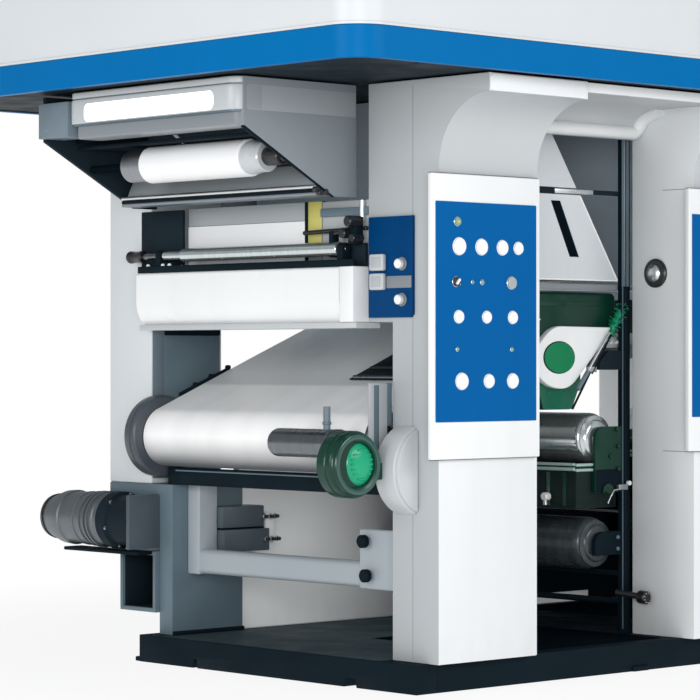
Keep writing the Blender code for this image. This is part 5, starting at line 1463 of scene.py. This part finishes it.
def add_drive_column(number):
    """Light column with a slate service face on the web's side, over a slate leg."""
    name = f"drive_column_{number + 1}"
    column, w, d, h = from_corner(f"drive_side_column_{number + 1}", name)
    # The last column's faces along X are white: painted light
    sides = WHITE if number == BAYS else FAR_GREY
    column.add(block((0, 0, 0), (w, d, h), 0.006, 3), FAR_GREY, sides)
    column.box((0.006, -0.002, 0.02), (0.068, 0.004, 0.622), MID_SLATE, 0.002)
    column.box((0.065, -0.004, 0.02), (w - 0.012, 0.004, 0.58), SLATE)
    column.box((0.065, -0.006, 0.58), (w - 0.012, 0.004, 0.622), BLACK, 0.002)
    column.box((0.035, d - 0.004, 0.06), (w - 0.035, d + 0.004, h - 0.10), COLUMN_GREY)
    for share in (0.12, 0.5, 0.88):
        z = 0.06 + share * (h - 0.16)
        column.rod((0.043, d + 0.006, z - 0.03), (0.043, d + 0.006, z + 0.03), 0.006, STEEL, 0.001)
    x, z = w - 0.065, h / 2 - 0.02
    column.rod((x, d + 0.004, z), (x, d + 0.012, z), 0.016, BLACK_PLASTIC, 0.002)
    column.box((x - 0.004, d + 0.012, z - 0.012), (x + 0.004, d + 0.018, z + 0.012), STEEL, 0.001)
    column.finish(name)

    low, high = local(f"drive_leg_{number + 1}")
    w, d, top = high.x - low.x, high.y - low.y, high.z
    leg = Piece(f"drive_side_leg_{number + 1}", at=(low.x, low.y, 0))
    foot, shelf = PLINTH_TOP + 0.0003, top - 0.05
    outline = [(0, foot), (0.08, foot), (0.08, shelf), (d, shelf), (d, top), (0, top)]
    leg.drawn(outline, "X", 0, w, SLATE, 0.004)
    leg.box((w - 0.10, d - 0.255, 0), (w, d, shelf + 0.01), SLATE, 0.004)
    for z in (PLINTH_TOP + 0.05, shelf - 0.06):
        leg.screws(((0.04, z), (w - 0.04, z)), 0.078, 0.008, 0.013, STEEL, 0.002)
    leg.box((0.001, -0.012, PLINTH_TOP + 0.001), (w - 0.001, 0.002, PLINTH_TOP + 0.016), BLACK,
            0.002)
    leg.finish(f"drive_leg_{number + 1}")


def add_drive_panels(number):
    """Light lower sheet and slate upper sheet between two drive columns."""
    name = f"low_drive_panel_{number + 1}"
    sheet, w, d, h = from_corner(f"lower_sheet_{number + 1}", name)
    sheet.box((0, 0, 0), (w, d, h), WHITE, 0.004)
    if not number:
        sheet.box((0.004, -0.005, 0.004), (w - 0.004, 0.001, 0.335 - sheet.at.z), WHITE, 0.002)
    for x in (0.05, w / 2, w - 0.05):
        sheet.screws(((x, 0.05), (x, h - 0.05)), d, 0.004, 0.009, STEEL, 0.001, 16)
    sheet.box((0.15, d - 0.001, 0.15), (w - 0.15, d + 0.006, h - 0.15), COLUMN_GREY)
    if number:
        # On the second sheet a matt black lining over all but a strip at its foot: painted shade in
        # the bay
        sheet.box((0.004, -0.006, 0.046), (w - 0.004, 0.001, h - 0.004), MATT_BLACK_AND_SHADE, 0.002)
        sheet.box((2.40 - sheet.at.x, -0.0055, 0.003), (w - 0.004, 0.001, 0.048), MATT_BLACK_AND_SHADE, 0.002)
    sheet.finish(name)

    name = f"high_drive_panel_{number + 1}"
    sheet, w, d, h = from_corner(f"upper_sheet_{number + 1}", name)
    sheet.box((0, 0, 0), (w, d, h), LIGHT_SLATE, 0.004)
    for x0, x1 in ((0.03, w / 2 - 0.012), (w / 2 + 0.012, w - 0.03)):
        sheet.box((x0, d - 0.001, 0.04), (x1, d + 0.006, h - 0.04), SLATE)
        sheet.box((x0, -0.004, 0.04), (x1, 0.001, h - 0.04), LIGHT_SLATE, 0.002)
    screws = [(x, z) for z in (0.09, h - 0.09) for x in (0.06, w / 2 - 0.05, w / 2 + 0.05,
                                                         w - 0.06)]
    sheet.screws(screws, d + 0.005, 0.005, 0.009, STEEL, 0.001, 16)
    sheet.finish(name)


def add_base():
    """Plinth with notched lower edges, dark deck plates between the frames, matt black ones in the
    bays as painted shade, and small feet.
    """
    low, high = local("plinth")
    left, right, near, far, top = low.x, high.x, low.y, high.y, high.z
    base = Piece("base_frame")
    side = [(near, top), (near, 0)]
    for y, width in ((0.36, 0.065), (1.25, 0.025)):
        side += [(y, 0), (y + width * 0.12, 0.034), (y + width * 0.88, 0.034), (y + width, 0)]
    side += [(far, 0), (far, top)]
    for x in (left, right - 0.10):
        base.drawn(side, "X", x, x + 0.10, BLACK, 0.003)
    base.box((left + 0.099, near, 0), (right - 0.099, far, top), BLACK)
    # Matt black plates in the bays: painted shade
    for x, back in ((0, 0.86), (PITCH, far - 0.15)):
        base.box((x + COLUMN_WIDTH + 0.004, near + 0.07, top - 0.001),
                 (x + PITCH - 0.055, back, top + 0.002),
                 MATT_BLACK_AND_SHADE, 0.002)
    for x, y, end in ((left + 0.012, near + 0.20, 0.49), (0.489, 0.87, 1.355)):
        base.box((x, y, top - 0.001), (end, far - 0.115, top + 0.0002), DECK, 0.0005, 1)
    for x in (1.07, 2.44):
        base.box((x, near - 0.010, 0), (x + 0.09, near + 0.004, 0.020), BLACK, 0.004)
    for x in (left + 0.004, right - 0.084):
        base.box((x, far - 0.002, 0), (x + 0.08, far + 0.030, 0.018), BLACK, 0.004)
    base.finish("plinth")


def add_web_bar():
    support, w, d, h = from_corner("web_support_bar", "web_bar")
    support.box((0, 0, 0), (w, d, h + 0.028), BLACK)
    support.rod((-0.001, 0.05, h + 0.018), (-0.001, d - 0.05, h + 0.018), 0.003, SLATE)
    support.finish("web_bar")


set_camera()
set_floor()
set_lights()
add_canopy()
add_hood()
add_hood_roller()
for number in range(BAYS + 1):
    add_column(number)
    add_button_panel(number)
for number in range(BAYS):
    add_header(number)
add_beam()
add_guide()
add_window()
add_switch_panel()
add_draw_roller()
add_web()
add_web_guards()
add_side_drive()
add_c_frame()
add_valves()
add_cable_box()
add_side_motor()
for number in range(BAYS):
    add_post(number, True)
    add_post(number, False)
    add_near_bracket(number)
    add_far_bracket(number)
    add_cam(number)
    add_carriage(number)
    add_dryer(number)
    add_bay_rollers(number)
    add_pan(number)
    add_bay_small_parts(number)
    add_column_knob(number + 1)
    add_drive_panels(number)
for number in range(BAYS + 1):
    add_drive_column(number)
add_base()
add_web_bar()
